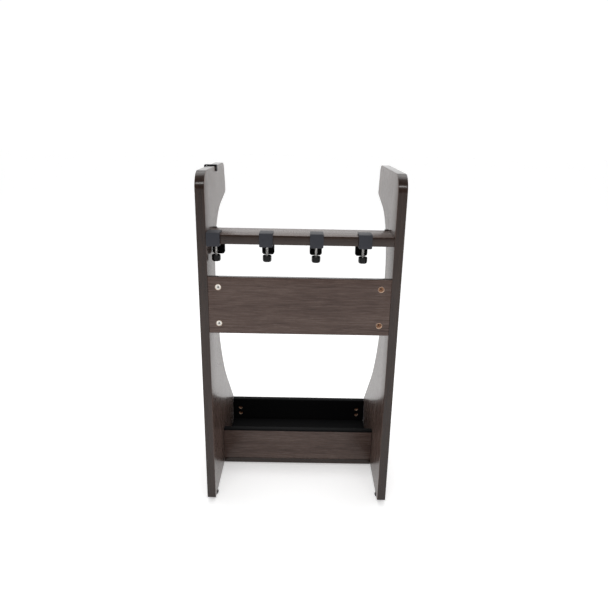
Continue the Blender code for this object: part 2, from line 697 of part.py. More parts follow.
def hook_outline():
    """The strap's side view as (x, z) points: over the panel's top, down its outer face and up to a tip."""
    inner_leg = -INNER_X + GAP
    rest = PANEL_TOP + GAP
    near = -RACK_WIDTH / 2 - HOOK_STANDOFF
    far = near - HOOK_STRAP
    bend_centre = (near - HOOK_BEND, PANEL_TOP - HOOK_OUTER_LEG)
    inside = arc(bend_centre, HOOK_BEND - HOOK_STRAP, 0, -180, 8)
    outside = arc(bend_centre, HOOK_BEND, -180, 0, 8)
    tip_height = bend_centre[1] + HOOK_TIP_HEIGHT
    outline = [
        (inner_leg, PANEL_TOP - HOOK_INNER_LEG),
        (inner_leg + HOOK_STRAP, PANEL_TOP - HOOK_INNER_LEG),
        (inner_leg + HOOK_STRAP, rest + HOOK_STRAP),
        (far, rest + HOOK_STRAP),
    ]
    outline += inside
    outline += [(inside[-1][0], tip_height), (outside[0][0], tip_height)]
    outline += outside
    outline += [(near, rest), (inner_leg, rest)]
    return outline


def add_hook(origin):
    """A bent steel strap that hangs over the left panel and slides along its top edge."""
    base = add_empty("hook_base", origin, (0, HOOK_Y, 0))
    strap = prism_mesh(hook_outline(), HOOK_WIDTH, "Y")
    hook = add_object("accessory_hook", strap, base, (0, 0, 0), "black_steel")
    add_bevel(hook, HOOK_EDGE)
    smooth(hook)


def main():
    clear_scene()
    make_materials()
    origin = make_origin()
    for side in (-1, 1):
        add_side_panel(side, origin, bolt_places())
    add_neck_rail(origin)
    add_rail_padding(origin)
    add_back_panel(origin)
    add_tray(origin)
    add_feet(origin)
    add_hook(origin)
    for index, place in enumerate(CLAMP_PLACES, start=1):
        add_clamp(index, FIRST_CLAMP_X + place * 2 * INNER_X, origin)


main()
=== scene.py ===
"""Guitar rack: dark laminate boards, foam padding and steel clamps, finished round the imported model.

Metres, +Z up. X runs along the neck rail and +Y points to the open front of the rack.
"""

from math import cos, pi, radians, sin, tan

import bmesh
import bpy
from mathutils import Matrix, Vector


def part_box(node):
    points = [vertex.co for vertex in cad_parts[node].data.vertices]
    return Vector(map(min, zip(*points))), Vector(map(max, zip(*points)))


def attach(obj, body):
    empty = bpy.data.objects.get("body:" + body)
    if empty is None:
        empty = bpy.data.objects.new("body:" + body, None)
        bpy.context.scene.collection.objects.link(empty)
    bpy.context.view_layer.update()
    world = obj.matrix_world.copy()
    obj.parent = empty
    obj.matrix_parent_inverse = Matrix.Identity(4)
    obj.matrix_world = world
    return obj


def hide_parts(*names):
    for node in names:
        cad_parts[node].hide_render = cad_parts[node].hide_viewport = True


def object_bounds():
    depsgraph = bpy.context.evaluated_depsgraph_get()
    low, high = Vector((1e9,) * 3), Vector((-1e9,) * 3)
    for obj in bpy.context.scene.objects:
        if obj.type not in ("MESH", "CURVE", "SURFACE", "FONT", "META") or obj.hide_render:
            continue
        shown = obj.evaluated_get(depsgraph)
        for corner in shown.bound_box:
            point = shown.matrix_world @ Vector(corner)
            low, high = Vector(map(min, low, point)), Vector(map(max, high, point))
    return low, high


# Camera
LENS_MM = 32.75
SENSOR_MM = 36.0
CAMERA_FROM_RACK = (0.0083, -1.4159, 1.0855)
CAMERA_YAW = radians(0.16)
CAMERA_DROP = radians(17.974)
CAMERA_ROLL = radians(-1.042)

# Stage and light
WHITE = (1.0, 1.0, 1.0, 1.0)
FLOOR_SIZE = 40.0
FLOOR_COLOUR = (0.93, 0.93, 0.93, 1.0)
FLOOR_ROUGHNESS = 0.7
FLOOR_SPECULAR = 0.1
FLOOR_GLOW = 0.41
BACKDROP_STRENGTH = 1.04
ROOM_STRENGTH_FRONT = 1.12
ROOM_STRENGTH_REAR = 0.10
ROOM_SLOPE = 0.80
ROOM_RISE = 0.20
ROOM_MIDDLE = 0.35
# Name, place, target, size and power in watts
LIGHTS = (
    ("top_light", (0.0, 0.6, 3.0), (0.0, 0.0, 0.6), (2.4, 1.6), 20.0),
    ("strip_light", (0.0, -2.55, 2.60), (0.0, -0.2, 0.90), (3.0, 0.36), 38.0),
)

# Side panels
TOE_BOTTOM_RADIUS = 0.012
TOE_TOP_RADIUS = 0.030
REAR_TOP_RADIUS = 0.045
REAR_BOTTOM_RADIUS = 0.008
HEAD_TOP_RADIUS = 0.030
HEAD_LOW_RADIUS = 0.010
HEAD_TOP_Y = 0.362
HEAD_LOW_Y = 0.386
HEAD_SLOPE = radians(12.0)
WAIST_Y = 0.1345
WAIST_HEIGHT = 0.683
THROAT_RADIUS = 0.175
FLARE_RADIUS = 0.600
FLARE_ANGLE = radians(45.0)
FILLET_SHARE = 0.998
PANEL_CORNER_STEPS = (6, 8, 10, 44, 40, 10, 14, 20)
PANEL_ROUNDING = 0.0016

# Wood
WOOD_DARK = (0.026, 0.014, 0.011, 1.0)
WOOD_MIDDLE = (0.078, 0.049, 0.040, 1.0)
WOOD_LIGHT = (0.140, 0.100, 0.084, 1.0)
WOOD_PORE = (0.016, 0.009, 0.007, 1.0)
WOOD_STOPS = ((0.30, WOOD_DARK), (0.47, WOOD_MIDDLE), (0.70, WOOD_LIGHT))
RAW_BOARD_DARK = (0.66, 0.44, 0.31, 1.0)
RAW_BOARD_LIGHT = (0.97, 0.80, 0.64, 1.0)
# Each figure is its cycles per metre along and across the grain, its detail and its roughness
STREAKS = (17.0, 380.0, 5.0, 0.66)
BANDS = (2.4, 44.0, 4.0, 0.6)
PORES = (95.0, 1900.0, 2.0, 0.5)
CHIPS = (900.0, 900.0, 3.0, 0.7)
STREAK_SHARE = 0.60
PORE_START = 0.56
PORE_CONTRAST = 9.0
PORE_SHARE = 0.6
WOOD_ROUGHNESS = 0.23
STREAK_ROUGHNESS = 0.08
PORE_ROUGHNESS = 0.12
RAW_ROUGHNESS = 0.5
STREAK_RELIEF = 0.5
WOOD_BUMP = (0.16, 0.00010)
WOOD_IOR = 1.34
EDGE_BAND_SHARE = (0.30, 0.25, 0.22)
EDGE_BAND_SLANT = 0.6
EDGE_BAND_GLOSS = 0.28
EDGE_BAND_SMOOTHNESS = 0.06
EDGE_BAND_COAT_ROUGHNESS = 0.11

# Boards
BOARD_ROUNDING = 0.0010
ROUNDING_STEPS = 3
ROUNDING_ANGLE = radians(30.0)
WELD = 1e-7
COARSE_WELD = 1e-6

# Cam locks
HOLE_START = 0.002
CAM_HOLE_FLOOR = 0.0004
CAM_RIM = 0.0011
CAM_DISH = 0.0006
CAM_SINK = {"back_left": 0.0, "back_right": 0.0080, "lip_left": 0.0040, "lip_right": 0.0040}
CROSS_TURN = radians(12.0)
CAM_RADIUS = 0.0075
CAM_HOLE_RADIUS = 0.0078
CAM_RAW_RADIUS = 0.0082
CAM_CHAMFER = 0.0005
CROSS_LENGTH = 0.0070
CROSS_WIDTH = 0.0019
CROSS_DEPTH = 0.0030

# Coatings and mouldings: colour, roughness, grain in cycles per metre, grain height and shader settings
DULL = {"Specular IOR Level": 0.22}
MATTE = {"Specular IOR Level": 0.08}
COATINGS = {
    "moulded_rubber": ((0.010, 0.010, 0.010), 0.62, 2600.0, 0.00008, {}),
    "slate_powder_coat": ((0.038, 0.039, 0.046), 0.44, 1500.0, 0.00002, MATTE),
    "knob_plastic": ((0.0028, 0.0028, 0.0032), 0.30, 2200.0, 0.00003, DULL),
    "cap_plastic": ((0.005, 0.005, 0.005), 0.45, 2200.0, 0.00006, DULL),
    "black_enamel": ((0.007, 0.007, 0.010), 0.42, 1300.0, 0.00004, MATTE),
}
PEBBLE_DETAIL = 2.0
PEBBLE_SOFTNESS = 0.5
PEBBLE_ROUGHNESS = 0.08
PEBBLE_BUMP = 0.5
# Cycles per metre, detail and roughness
PATCHES = (34.0, 3.0, 0.6)
PATCH_SHARE = 0.5
PATCH_ROUGHNESS = 0.14
PATCH_LIGHTER = 1.4
PATCH_LIFT = 0.002

# Foam
FOAM_DARK = (0.0016, 0.0016, 0.0018, 1.0)
FOAM_LIGHT = (0.0060, 0.0060, 0.0065, 1.0)
FOAM_SETTINGS = {"Specular IOR Level": 0.12}
FOAM_CELLS = 1500.0
FOAM_CLOUD = (60.0, 4.0, 0.6)
FOAM_CLOUD_SHARE = 0.6
FOAM_CELL_SHARE = 0.3
FOAM_ROUGHNESS = 0.74
FOAM_CLOUD_ROUGHNESS = 0.16
FOAM_BUMP = (0.6, 0.0002)

# Metals: dark and light tone, roughness, brushing marks in cycles per metre and how metallic it looks
METALS = {
    "bright_steel": ((0.62, 0.61, 0.59), (0.86, 0.85, 0.83), 0.34, (60.0, 60.0, 4200.0), 0.5),
    "zinc_casting": ((0.66, 0.64, 0.60), (0.88, 0.85, 0.80), 0.40, (700.0, 700.0, 700.0), 0.45),
    # A darker, browner copy of the zinc cam metal for cams sunk in their holes: painted shade
    "sunk_cam_painted_shade": ((0.22, 0.11, 0.06), (0.42, 0.23, 0.14), 0.45, (700.0, 700.0, 700.0), 0.6),
}
# Painted shade: the dark colour given to the faces inside a cam lock's cross recess
PAINTED_RECESS_SHADE = (0.030, 0.026, 0.022, 1.0)
METAL_MARK_DETAIL = 3.0
METAL_MARK_SOFTNESS = 0.6
METAL_CLOUD = (240.0, 4.0, 0.6)
METAL_MARK_ROUGHNESS = 0.18
METAL_CLOUD_ROUGHNESS = 0.14
METAL_BUMP = (0.25, 0.00006)

# Clamps
CLAMP_COUNT = 4
CLAMP_PLATE = 0.005
JAW_REACH = 0.060
FLANGE_REACH = 0.040
TRIM_LENGTH = 0.400
SCREW_FIT = 0.0003
POCKET_BELOW_PAD = 0.0018
PRESSURE_PAD_ROUNDING = 0.0004
DISC_SIDES = 48
CLAMP_BEND = 0.0032
CLAMP_ROUNDING = 0.0007
CLAMP_LOW_CORNER = 0.0035
CLAMP_BEND_STEPS = 6
CLAMP_EDGE_STEPS = 2
ARM_WIDTH = 0.024
SCREW_PITCH = 0.001
THREAD_DEPTH = 0.00035
THREAD_SIDES = 28
THREAD_STEPS_PER_TURN = 8
THREAD_SMOOTH_ANGLE = radians(50.0)
KNOB_SIDES = 120
KNOB_LEVELS = 28
KNOB_RINGS = 8
KNOB_SMOOTH_ANGLE = radians(40.0)
KNOB_LOBES = 6
KNOB_LOBE_DEPTH = 0.06
KNOB_TOP_ROUNDING = 0.06
KNOB_FOOT_ROUNDING = 0.13
KNOB_TOP_START = 0.62
KNOB_FOOT_START = 0.30

# Padding
FIT = 0.0003
PAD_ROUNDING = 0.0018
PAD_STEPS = 4
PAD_FOOT_RADIUS = 0.0012
PAD_FOLD_RADIUS = 0.0042
PAD_END_RADIUS = 0.0020
PAD_TIP_RADIUS = 0.0010
PAD_INNER_RADIUS = 0.0006
PAD_CORNER_STEPS = (3, 3, 8, 4, 3, 2)
PAD_SIDE_ROUNDING = 0.0012
PAD_SIDE_STEPS = 2
DIVIDER_VOXEL = 0.0011
DIVIDER_SMOOTHING = 3
DIVIDER_SMOOTH_SHARE = 0.5

# Hook and feet
HOOK_BEND = 0.0028
HOOK_END_RADIUS = 0.0012
HOOK_CORNER_STEPS = (3, 3, 8, 8, 16, 16, 3, 3, 20, 20, 4, 4)
HOOK_ROUNDING = 0.0006
HOOK_STANDOFF = 0.004
HOOK_STRAP = 0.003
HOOK_OUTER_RADIUS = 0.0115
HOOK_INNER_LEG = 0.015
HOOK_OUTER_LEG = 0.085
HOOK_TIP_HEIGHT = 0.018
FOOT_ROUNDING = 0.0020
FOOT_EDGE_SHARE = 0.3
FOOT_RECESS_RADIUS = 0.0052
FOOT_RECESS_DEPTH = 0.0030
FOOT_SCREW_RADIUS = 0.0042

SMOOTH_ANGLE = radians(35.0)
UNTURNED = (0.0, 0.0, 0.0)

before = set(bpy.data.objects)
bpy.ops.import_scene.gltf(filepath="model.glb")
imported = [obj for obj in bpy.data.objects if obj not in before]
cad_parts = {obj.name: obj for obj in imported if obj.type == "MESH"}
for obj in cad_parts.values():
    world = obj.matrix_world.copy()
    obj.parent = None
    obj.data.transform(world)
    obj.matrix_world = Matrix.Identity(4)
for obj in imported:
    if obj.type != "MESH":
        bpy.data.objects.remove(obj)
CAD_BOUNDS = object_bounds()


# ---- node trees


class Value:
    """A socket of a node tree. Used in an expression, it adds the Math nodes of that expression."""

    def __init__(self, graph, socket):
        self.graph = graph
        self.socket = socket

    def __add__(self, other):
        return self.graph.maths("ADD", self, other)

    __radd__ = __add__

    def __sub__(self, other):
        return self.graph.maths("SUBTRACT", self, other)

    def __rsub__(self, other):
        return self.graph.maths("SUBTRACT", other, self)

    def __mul__(self, other):
        return self.graph.maths("MULTIPLY", self, other)

    __rmul__ = __mul__

    def __truediv__(self, other):
        return self.graph.maths("DIVIDE", self, other)


class Graph:
    """Adds nodes to one shader or geometry tree."""

    def __init__(self, tree):
        self.tree = tree

    def node(self, kind, settings=None, inputs=None):
        """A new node. Its settings are set first, then each input gets a value or a link."""
        node = self.tree.nodes.new(kind)
        for name, value in (settings or {}).items():
            if name == "stops":
                self.set_stops(node.color_ramp, value)
            else:
                setattr(node, name, value)
        for key, value in (inputs or {}).items():
            self.feed(node.inputs[key], value)
        return node

    def feed(self, socket, value):
        if isinstance(value, Value):
            self.tree.links.new(value.socket, socket)
        else:
            socket.default_value = value

    def set_stops(self, ramp, stops):
        while len(ramp.elements) < len(stops):
            ramp.elements.new(0.5)
        for element, (position, colour) in zip(ramp.elements, stops):
            element.position = position
            element.color = colour

    def value(self, kind, settings=None, inputs=None, output=0):
        """The chosen output of a new node."""
        return Value(self, self.node(kind, settings, inputs).outputs[output])

    def maths(self, operation, first, second=0.0, clamp=False):
        settings = {"operation": operation, "use_clamp": clamp}
        return self.value("ShaderNodeMath", settings, {0: first, 1: second})

    def vector(self, operation, first, second):
        return self.value("ShaderNodeVectorMath", {"operation": operation}, {0: first, 1: second})

    def mix_colours(self, factor, first, second):
        return self.value("ShaderNodeMix", {"data_type": "RGBA"}, {0: factor, 6: first, 7: second}, 2)

    def mark(self, kind, name):
        """The value of a named attribute of a mesh, in a geometry tree."""
        return self.value("GeometryNodeInputNamedAttribute", {"data_type": kind}, {"Name": name})

    def axes(self, vector):
        """The x, y and z of a vector."""
        node = self.node("ShaderNodeSeparateXYZ", None, {0: vector})
        return [Value(self, output) for output in node.outputs]


# ---- finishes


def rgb(red, green, blue):
    return (red, green, blue, 1.0)


def new_finish(name, settings):
    """A material with constant shader settings. Returns the material, its graph and its shader node."""
    material = bpy.data.materials.new(name)
    material.use_nodes = True
    graph = Graph(material.node_tree)
    shader = material.node_tree.nodes["Principled BSDF"]
    for socket, value in settings.items():
        shader.inputs[socket].default_value = value
    return material, graph, shader


def noise(graph, place, stretch, detail, roughness):
    """Noise from 0 to 1 over a place, stretched by its cycles per metre along each axis."""
    scaled = graph.vector("MULTIPLY", place, stretch)
    inputs = {"Vector": scaled, "Scale": 1.0, "Detail": detail, "Roughness": roughness}
    return graph.value("ShaderNodeTexNoise", None, inputs)


def even_noise(graph, place, figure):
    """Noise with the same cycles per metre every way."""
    cycles, detail, roughness = figure
    return noise(graph, place, (cycles, cycles, cycles), detail, roughness)


def grain_noise(graph, place, axis, figure):
    """Noise that is stretched along the grain's axis."""
    lengthways, across, detail, roughness = figure
    stretch = tuple(lengthways if index == axis else across for index in range(3))
    return noise(graph, place, stretch, detail, roughness)


def own_place(graph):
    return graph.value("ShaderNodeTexCoord", None, None, "Object")


def face_mark(graph, name):
    """A piece's own face attribute, 0 where it has none."""
    return graph.value("ShaderNodeAttribute", {"attribute_name": name}, None, "Fac")


def set_surface(graph, shader, colour, roughness, relief, bump):
    """Feeds a shader its colour, its roughness and its bump, which is a strength and a height in metres."""
    graph.feed(shader.inputs["Base Color"], colour)
    graph.feed(shader.inputs["Roughness"], roughness)
    inputs = {"Strength": bump[0], "Distance": bump[1], "Height": relief}
    graph.feed(shader.inputs["Normal"], graph.value("ShaderNodeBump", None, inputs, "Normal"))


def laminate(name, axis, holes=None):
    """Dark wood-look laminate with its grain along an axis. Round holes show raw chipboard."""
    settings = {"IOR": WOOD_IOR, "Coat Roughness": EDGE_BAND_COAT_ROUGHNESS}
    material, graph, shader = new_finish(name, settings)
    place = own_place(graph)
    streaks = grain_noise(graph, place, axis, STREAKS)
    bands = grain_noise(graph, place, axis, BANDS)
    pores = grain_noise(graph, place, axis, PORES)
    figure = streaks * STREAK_SHARE + bands * (1.0 - STREAK_SHARE)
    colour = graph.value("ShaderNodeValToRGB", {"stops": WOOD_STOPS}, {0: figure})
    pore_mask = graph.maths("MULTIPLY", pores - PORE_START, PORE_CONTRAST, clamp=True)
    colour = graph.mix_colours(pore_mask * PORE_SHARE, colour, WOOD_PORE)
    band = face_mark(graph, "edge_band")
    colour = graph.mix_colours(band, colour, graph.vector("MULTIPLY", colour, EDGE_BAND_SHARE))
    roughness = WOOD_ROUGHNESS + STREAK_ROUGHNESS * streaks + PORE_ROUGHNESS * pore_mask
    roughness = roughness - EDGE_BAND_SMOOTHNESS * band
    graph.feed(shader.inputs["Coat Weight"], band * EDGE_BAND_GLOSS)
    if holes:
        mask = hole_mask(graph, place, holes)
        chips = grain_noise(graph, place, axis, CHIPS)
        colour = graph.mix_colours(mask, colour, graph.mix_colours(chips, RAW_BOARD_DARK, RAW_BOARD_LIGHT))
        roughness = roughness + RAW_ROUGHNESS * mask
    set_surface(graph, shader, colour, roughness, streaks * STREAK_RELIEF - pore_mask, WOOD_BUMP)
    return material


def hole_mask(graph, place, holes):
    """1 on the walls and floors of four holes that stand in a rectangle across Y, else 0.

    holes is (the middle of the mouths, half the spacings along x and z, the depth).
    """
    middle, half, depth = holes
    across, inward, up = graph.axes(graph.vector("SUBTRACT", place, middle))
    sideways = graph.maths("ABSOLUTE", across) - half[0]
    upwards = graph.maths("ABSOLUTE", up) - half[1]
    distance = graph.maths("SQRT", sideways * sideways + upwards * upwards)
    near_axis = graph.maths("LESS_THAN", distance, CAM_RAW_RADIUS)
    return near_axis * graph.maths("LESS_THAN", inward, depth + CAM_HOLE_FLOOR)


def coating(name, tone, roughness, grain, height, settings):
    """A moulded or coated surface: even colour, fine pebbled grain."""
    material, graph, shader = new_finish(name, settings)
    place = own_place(graph)
    pebbles = even_noise(graph, place, (grain, PEBBLE_DETAIL, PEBBLE_SOFTNESS))
    patches = even_noise(graph, place, PATCHES)
    lighter = rgb(*(PATCH_LIGHTER * part + PATCH_LIFT for part in tone))
    colour = graph.mix_colours(patches * PATCH_SHARE, rgb(*tone), lighter)
    roughness = roughness + PATCH_ROUGHNESS * (patches - 0.5) + PEBBLE_ROUGHNESS * (pebbles - 0.5)
    set_surface(graph, shader, colour, roughness, pebbles, (PEBBLE_BUMP, height))
    return material


def foam(name):
    """Closed-cell foam: matte black with a fine cell pattern."""
    material, graph, shader = new_finish(name, FOAM_SETTINGS)
    place = own_place(graph)
    inputs = {"Vector": place, "Scale": FOAM_CELLS}
    cells = graph.value("ShaderNodeTexVoronoi", None, inputs, "Distance")
    cloud = even_noise(graph, place, FOAM_CLOUD)
    share = cloud * FOAM_CLOUD_SHARE + cells * FOAM_CELL_SHARE
    colour = graph.mix_colours(share, FOAM_DARK, FOAM_LIGHT)
    set_surface(graph, shader, colour, FOAM_ROUGHNESS + FOAM_CLOUD_ROUGHNESS * cloud, cells, FOAM_BUMP)
    return material


def metal(name, dark, light, roughness, brushed, metallic):
    """Bare metal with fine turning or brushing marks, a slightly cloudy tone, and painted shade: a dark
    colour on the faces inside recesses.
    """
    material, graph, shader = new_finish(name, {"Metallic": metallic})
    place = own_place(graph)
    marks = noise(graph, place, brushed, METAL_MARK_DETAIL, METAL_MARK_SOFTNESS)
    cloud = even_noise(graph, place, METAL_CLOUD)
    colour = graph.mix_colours(cloud, rgb(*dark), rgb(*light))
    # Painted shade on the faces marked as inside a recess
    colour = graph.mix_colours(face_mark(graph, "recess"), colour, PAINTED_RECESS_SHADE)
    roughness = roughness + METAL_MARK_ROUGHNESS * (marks - 0.5) + METAL_CLOUD_ROUGHNESS * (cloud - 0.5)
    set_surface(graph, shader, colour, roughness, marks, METAL_BUMP)
    return material


# ---- geometry trees


def new_tree(name, numbers=(), objects=()):
    """A geometry tree with these inputs and a material. Returns it, its graph and its inputs' values."""
    tree = bpy.data.node_groups.new(name, "GeometryNodeTree")
    kinds = {"Geometry": "Geometry"}
    kinds.update(dict.fromkeys(numbers, "Float"))
    kinds.update(dict.fromkeys(objects, "Object"))
    kinds["Material"] = "Material"
    for label, kind in kinds.items():
        tree.interface.new_socket(label, in_out="INPUT", socket_type=f"NodeSocket{kind}")
    tree.interface.new_socket("Geometry", in_out="OUTPUT", socket_type="NodeSocketGeometry")
    graph = Graph(tree)
    start = graph.node("NodeGroupInput")
    values = {output.name: Value(graph, output) for output in start.outputs if output.name}
    return tree, graph, values


def finish_tree(graph, geometry, material):
    """Ends a tree with real geometry in one material."""
    real = graph.value("GeometryNodeRealizeInstances", None, {0: geometry})
    painted = graph.value("GeometryNodeSetMaterial", None, {"Geometry": real, "Material": material})
    graph.node("NodeGroupOutput", None, {0: painted})


def plate_tree():
    """A plate: the outline's corners are rounded, filled and given a thickness along Z, half each way."""
    tree, graph, given = new_tree("rounded_plate", ("Thickness",))
    outline = graph.value("GeometryNodeMeshToCurve", None, {0: given["Geometry"]})
    radius = graph.mark("FLOAT", "corner_radius")
    steps = graph.mark("INT", "corner_steps")
    inputs = {"Curve": outline, "Count": steps, "Radius": radius}
    rounded = graph.value("GeometryNodeFilletCurve", {"mode": "POLY"}, inputs)
    face = graph.value("GeometryNodeFillCurve", {"mode": "NGONS"}, {0: rounded})
    upwards = graph.value("ShaderNodeCombineXYZ", None, {"Z": given["Thickness"]})
    inputs = {"Mesh": face, "Offset": upwards, "Individual": False}
    walls = graph.value("GeometryNodeExtrudeMesh", {"mode": "FACES"}, inputs)
    underside = graph.value("GeometryNodeFlipFaces", None, {0: face})
    joined = graph.node("GeometryNodeJoinGeometry")
    graph.feed(joined.inputs[0], walls)
    graph.feed(joined.inputs[0], underside)
    inputs = {0: Value(graph, joined.outputs[0]), "Distance": COARSE_WELD}
    closed = graph.value("GeometryNodeMergeByDistance", None, inputs)
    down = graph.value("ShaderNodeCombineXYZ", None, {"Z": given["Thickness"] * -0.5})
    centred = graph.value("GeometryNodeTransform", None, {"Geometry": closed, "Translation": down})
    finish_tree(graph, centred, given["Material"])
    return tree


def cylinder(graph, sides, radius, length):
    """A closed cylinder round Z, divided as sides says."""
    inputs = {**sides, "Radius": radius, "Depth": length}
    return graph.value("GeometryNodeMeshCylinder", {"fill_type": "TRIANGLE_FAN"}, inputs)


def narrowed(graph, geometry, place, share):
    """Moves each point to a share of its own distance from the Z axis."""
    scale = graph.value("ShaderNodeCombineXYZ", None, {"X": share, "Y": share, "Z": 1.0})
    inputs = {"Geometry": geometry, "Position": graph.vector("MULTIPLY", place, scale)}
    return graph.value("GeometryNodeSetPosition", None, inputs)


def thread_tree():
    """A threaded rod along Z. Its surface rises and falls once in each pitch, along a helix."""
    tree, graph, given = new_tree("threaded_rod", ("Radius", "Length", "Pitch", "Depth"))
    steps = graph.maths("FLOOR", given["Length"] / given["Pitch"] * THREAD_STEPS_PER_TURN)
    sides = {"Vertices": THREAD_SIDES, "Side Segments": steps}
    rod = cylinder(graph, sides, given["Radius"], given["Length"])
    place = graph.value("GeometryNodeInputPosition")
    across, along_y, up = graph.axes(place)
    turn = graph.maths("ARCTAN2", along_y, across) / (2 * pi)
    phase = graph.maths("FRACT", up / given["Pitch"] - turn)
    crest = graph.maths("ABSOLUTE", phase * 2.0 - 1.0)
    share = 1.0 - given["Depth"] / given["Radius"] * crest
    finish_tree(graph, narrowed(graph, rod, place, share), given["Material"])
    return tree


def knob_tree():
    """A grip knob round Z with lobes on its side and rounded ends."""
    numbers = ("Radius", "Height", "Lobes", "Lobe Depth", "Top Rounding", "Foot Rounding")
    tree, graph, given = new_tree("lobed_knob", numbers)
    sides = {"Vertices": KNOB_SIDES, "Side Segments": KNOB_LEVELS, "Fill Segments": KNOB_RINGS}
    body = cylinder(graph, sides, given["Radius"], given["Height"])
    place = graph.value("GeometryNodeInputPosition")
    across, along_y, up = graph.axes(place)
    angle = graph.maths("ARCTAN2", along_y, across)
    lobes = 1.0 - given["Lobe Depth"] * (0.5 - 0.5 * graph.maths("COSINE", angle * given["Lobes"]))
    height_share = up / given["Height"] * 2.0
    below = height_share * -1.0
    near_top = graph.maths("DIVIDE", height_share - KNOB_TOP_START, 1.0 - KNOB_TOP_START, clamp=True)
    near_foot = graph.maths("DIVIDE", below - KNOB_FOOT_START, 1.0 - KNOB_FOOT_START, clamp=True)
    top = given["Top Rounding"] * near_top * near_top * near_top
    foot = given["Foot Rounding"] * near_foot * near_foot
    share = lobes * (1.0 - top - foot)
    finish_tree(graph, narrowed(graph, body, place, share), given["Material"])
    return tree


def copies_tree():
    """Puts a copy of an object on each point, turned by the point's own angles."""
    tree, graph, given = new_tree("copies", objects=("Object",))
    space = {"transform_space": "ORIGINAL"}
    shape = graph.value("GeometryNodeObjectInfo", space, {"Object": given["Object"]}, "Geometry")
    turn = graph.mark("FLOAT_VECTOR", "turn")
    rotation = graph.value("FunctionNodeEulerToRotation", None, {0: turn})
    inputs = {"Points": given["Geometry"], "Instance": shape, "Rotation": rotation}
    copies = graph.value("GeometryNodeInstanceOnPoints", None, inputs)
    finish_tree(graph, copies, given["Material"])
    return tree


def socket_name(tree, label):
    """The identifier of a tree's input."""
    return next(
        item.identifier for item in tree.interface.items_tree if item.in_out == "INPUT" and item.name == label
    )


def grow(name, mesh, tree, settings):
    """Runs a geometry tree on a mesh and returns the result as a new plain mesh."""
    carrier = bpy.data.objects.new(name, mesh)
    bpy.context.scene.collection.objects.link(carrier)
    modifier = carrier.modifiers.new(tree.name, "NODES")
    modifier.node_group = tree
    for label, value in settings.items():
        modifier[socket_name(tree, label)] = value
    graph = bpy.context.evaluated_depsgraph_get()
    graph.update()
    result = bpy.data.meshes.new_from_object(carrier.evaluated_get(graph))
    bpy.data.objects.remove(carrier)
    result.name = name
    return result


# ---- mesh helpers


def add_piece(name, mesh, material=None):
    obj = bpy.data.objects.new(name, mesh)
    bpy.context.scene.collection.objects.link(obj)
    if material:
        mesh.materials.clear()
        mesh.materials.append(material)
    return obj


def mesh_from(name, bm):
    mesh = bpy.data.meshes.new(name)
    bm.to_mesh(mesh)
    bm.free()
    return mesh


def no_mesh():
    """The start of a piece that its tree makes from nothing."""
    return bpy.data.meshes.new("empty")


def points_mesh(name, places, turn):
    """Loose points, each with the angles that its copy is turned by."""
    mesh = bpy.data.meshes.new(name)
    mesh.from_pydata(places, [], [])
    attribute = mesh.attributes.new("turn", "FLOAT_VECTOR", "POINT")
    attribute.data.foreach_set("vector", list(turn) * len(places))
    return mesh


def outline_mesh(name, corners):
    """A closed outline of (u, v, corner radius, steps)."""
    mesh = bpy.data.meshes.new(name)
    count = len(corners)
    edges = [(index, (index + 1) % count) for index in range(count)]
    mesh.from_pydata([(u, v, 0.0) for u, v, _, _ in corners], edges, [])
    radii = mesh.attributes.new("corner_radius", "FLOAT", "POINT")
    radii.data.foreach_set("value", [corner[2] for corner in corners])
    steps = mesh.attributes.new("corner_steps", "INT", "POINT")
    steps.data.foreach_set("value", [corner[3] for corner in corners])
    return mesh


def with_steps(corners, steps):
    """Gives each (u, v, corner radius) its count of steps."""
    return [(*corner, count) for corner, count in zip(corners, steps)]


def face_out(mesh):
    bm = bmesh.new()
    bm.from_mesh(mesh)
    bmesh.ops.remove_doubles(bm, verts=bm.verts, dist=WELD)
    bmesh.ops.recalc_face_normals(bm, faces=bm.faces)
    bm.to_mesh(mesh)
    bm.free()


def apply_modifiers(obj):
    """Bakes an object's modifiers into its mesh."""
    graph = bpy.context.evaluated_depsgraph_get()
    graph.update()
    mesh = bpy.data.meshes.new_from_object(obj.evaluated_get(graph))
    obj.modifiers.clear()
    obj.data = mesh


def add_rounding(obj, width, steps=ROUNDING_STEPS):
    modifier = obj.modifiers.new("rounding", "BEVEL")
    modifier.width = width
    modifier.segments = steps
    modifier.limit_method = "ANGLE"
    modifier.angle_limit = ROUNDING_ANGLE
    modifier.harden_normals = False


def combine(obj, helper, operation):
    """Adds or cuts a helper shape, which is removed afterwards."""
    modifier = obj.modifiers.new(operation, "BOOLEAN")
    modifier.object = helper
    modifier.operation = operation
    modifier.solver = "EXACT"
    apply_modifiers(obj)
    bpy.data.objects.remove(helper)


def smooth(obj, angle=SMOOTH_ANGLE):
    obj.data.shade_smooth()
    obj.data.set_sharp_from_angle(angle=angle)


def box_mesh(name, low, high):
    bm = bmesh.new()
    bmesh.ops.create_cube(bm, size=1.0)
    bmesh.ops.scale(bm, vec=Vector(high) - Vector(low), verts=bm.verts)
    bmesh.ops.translate(bm, vec=(Vector(low) + Vector(high)) / 2, verts=bm.verts)
    return mesh_from(name, bm)


def rounded_box(name, node, rounding, material, steps=ROUNDING_STEPS):
    """A node's box with rounded edges."""
    obj = add_piece(name, box_mesh(name, *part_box(node)), material)
    add_rounding(obj, rounding, steps)
    apply_modifiers(obj)
    smooth(obj)
    return obj


def rod_between(name, start, end, radius, sides=48):
    """A plain closed rod, used to cut round holes."""
    bm = bmesh.new()
    length = (Vector(end) - Vector(start)).length
    bmesh.ops.create_cone(bm, cap_ends=True, segments=sides, radius1=radius, radius2=radius, depth=length)
    turn = Vector((0, 0, 1)).rotation_difference(Vector(end) - Vector(start)).to_matrix()
    bmesh.ops.rotate(bm, matrix=turn, verts=bm.verts)
    bmesh.ops.translate(bm, vec=(Vector(start) + Vector(end)) / 2, verts=bm.verts)
    return add_piece(name, mesh_from(name, bm))


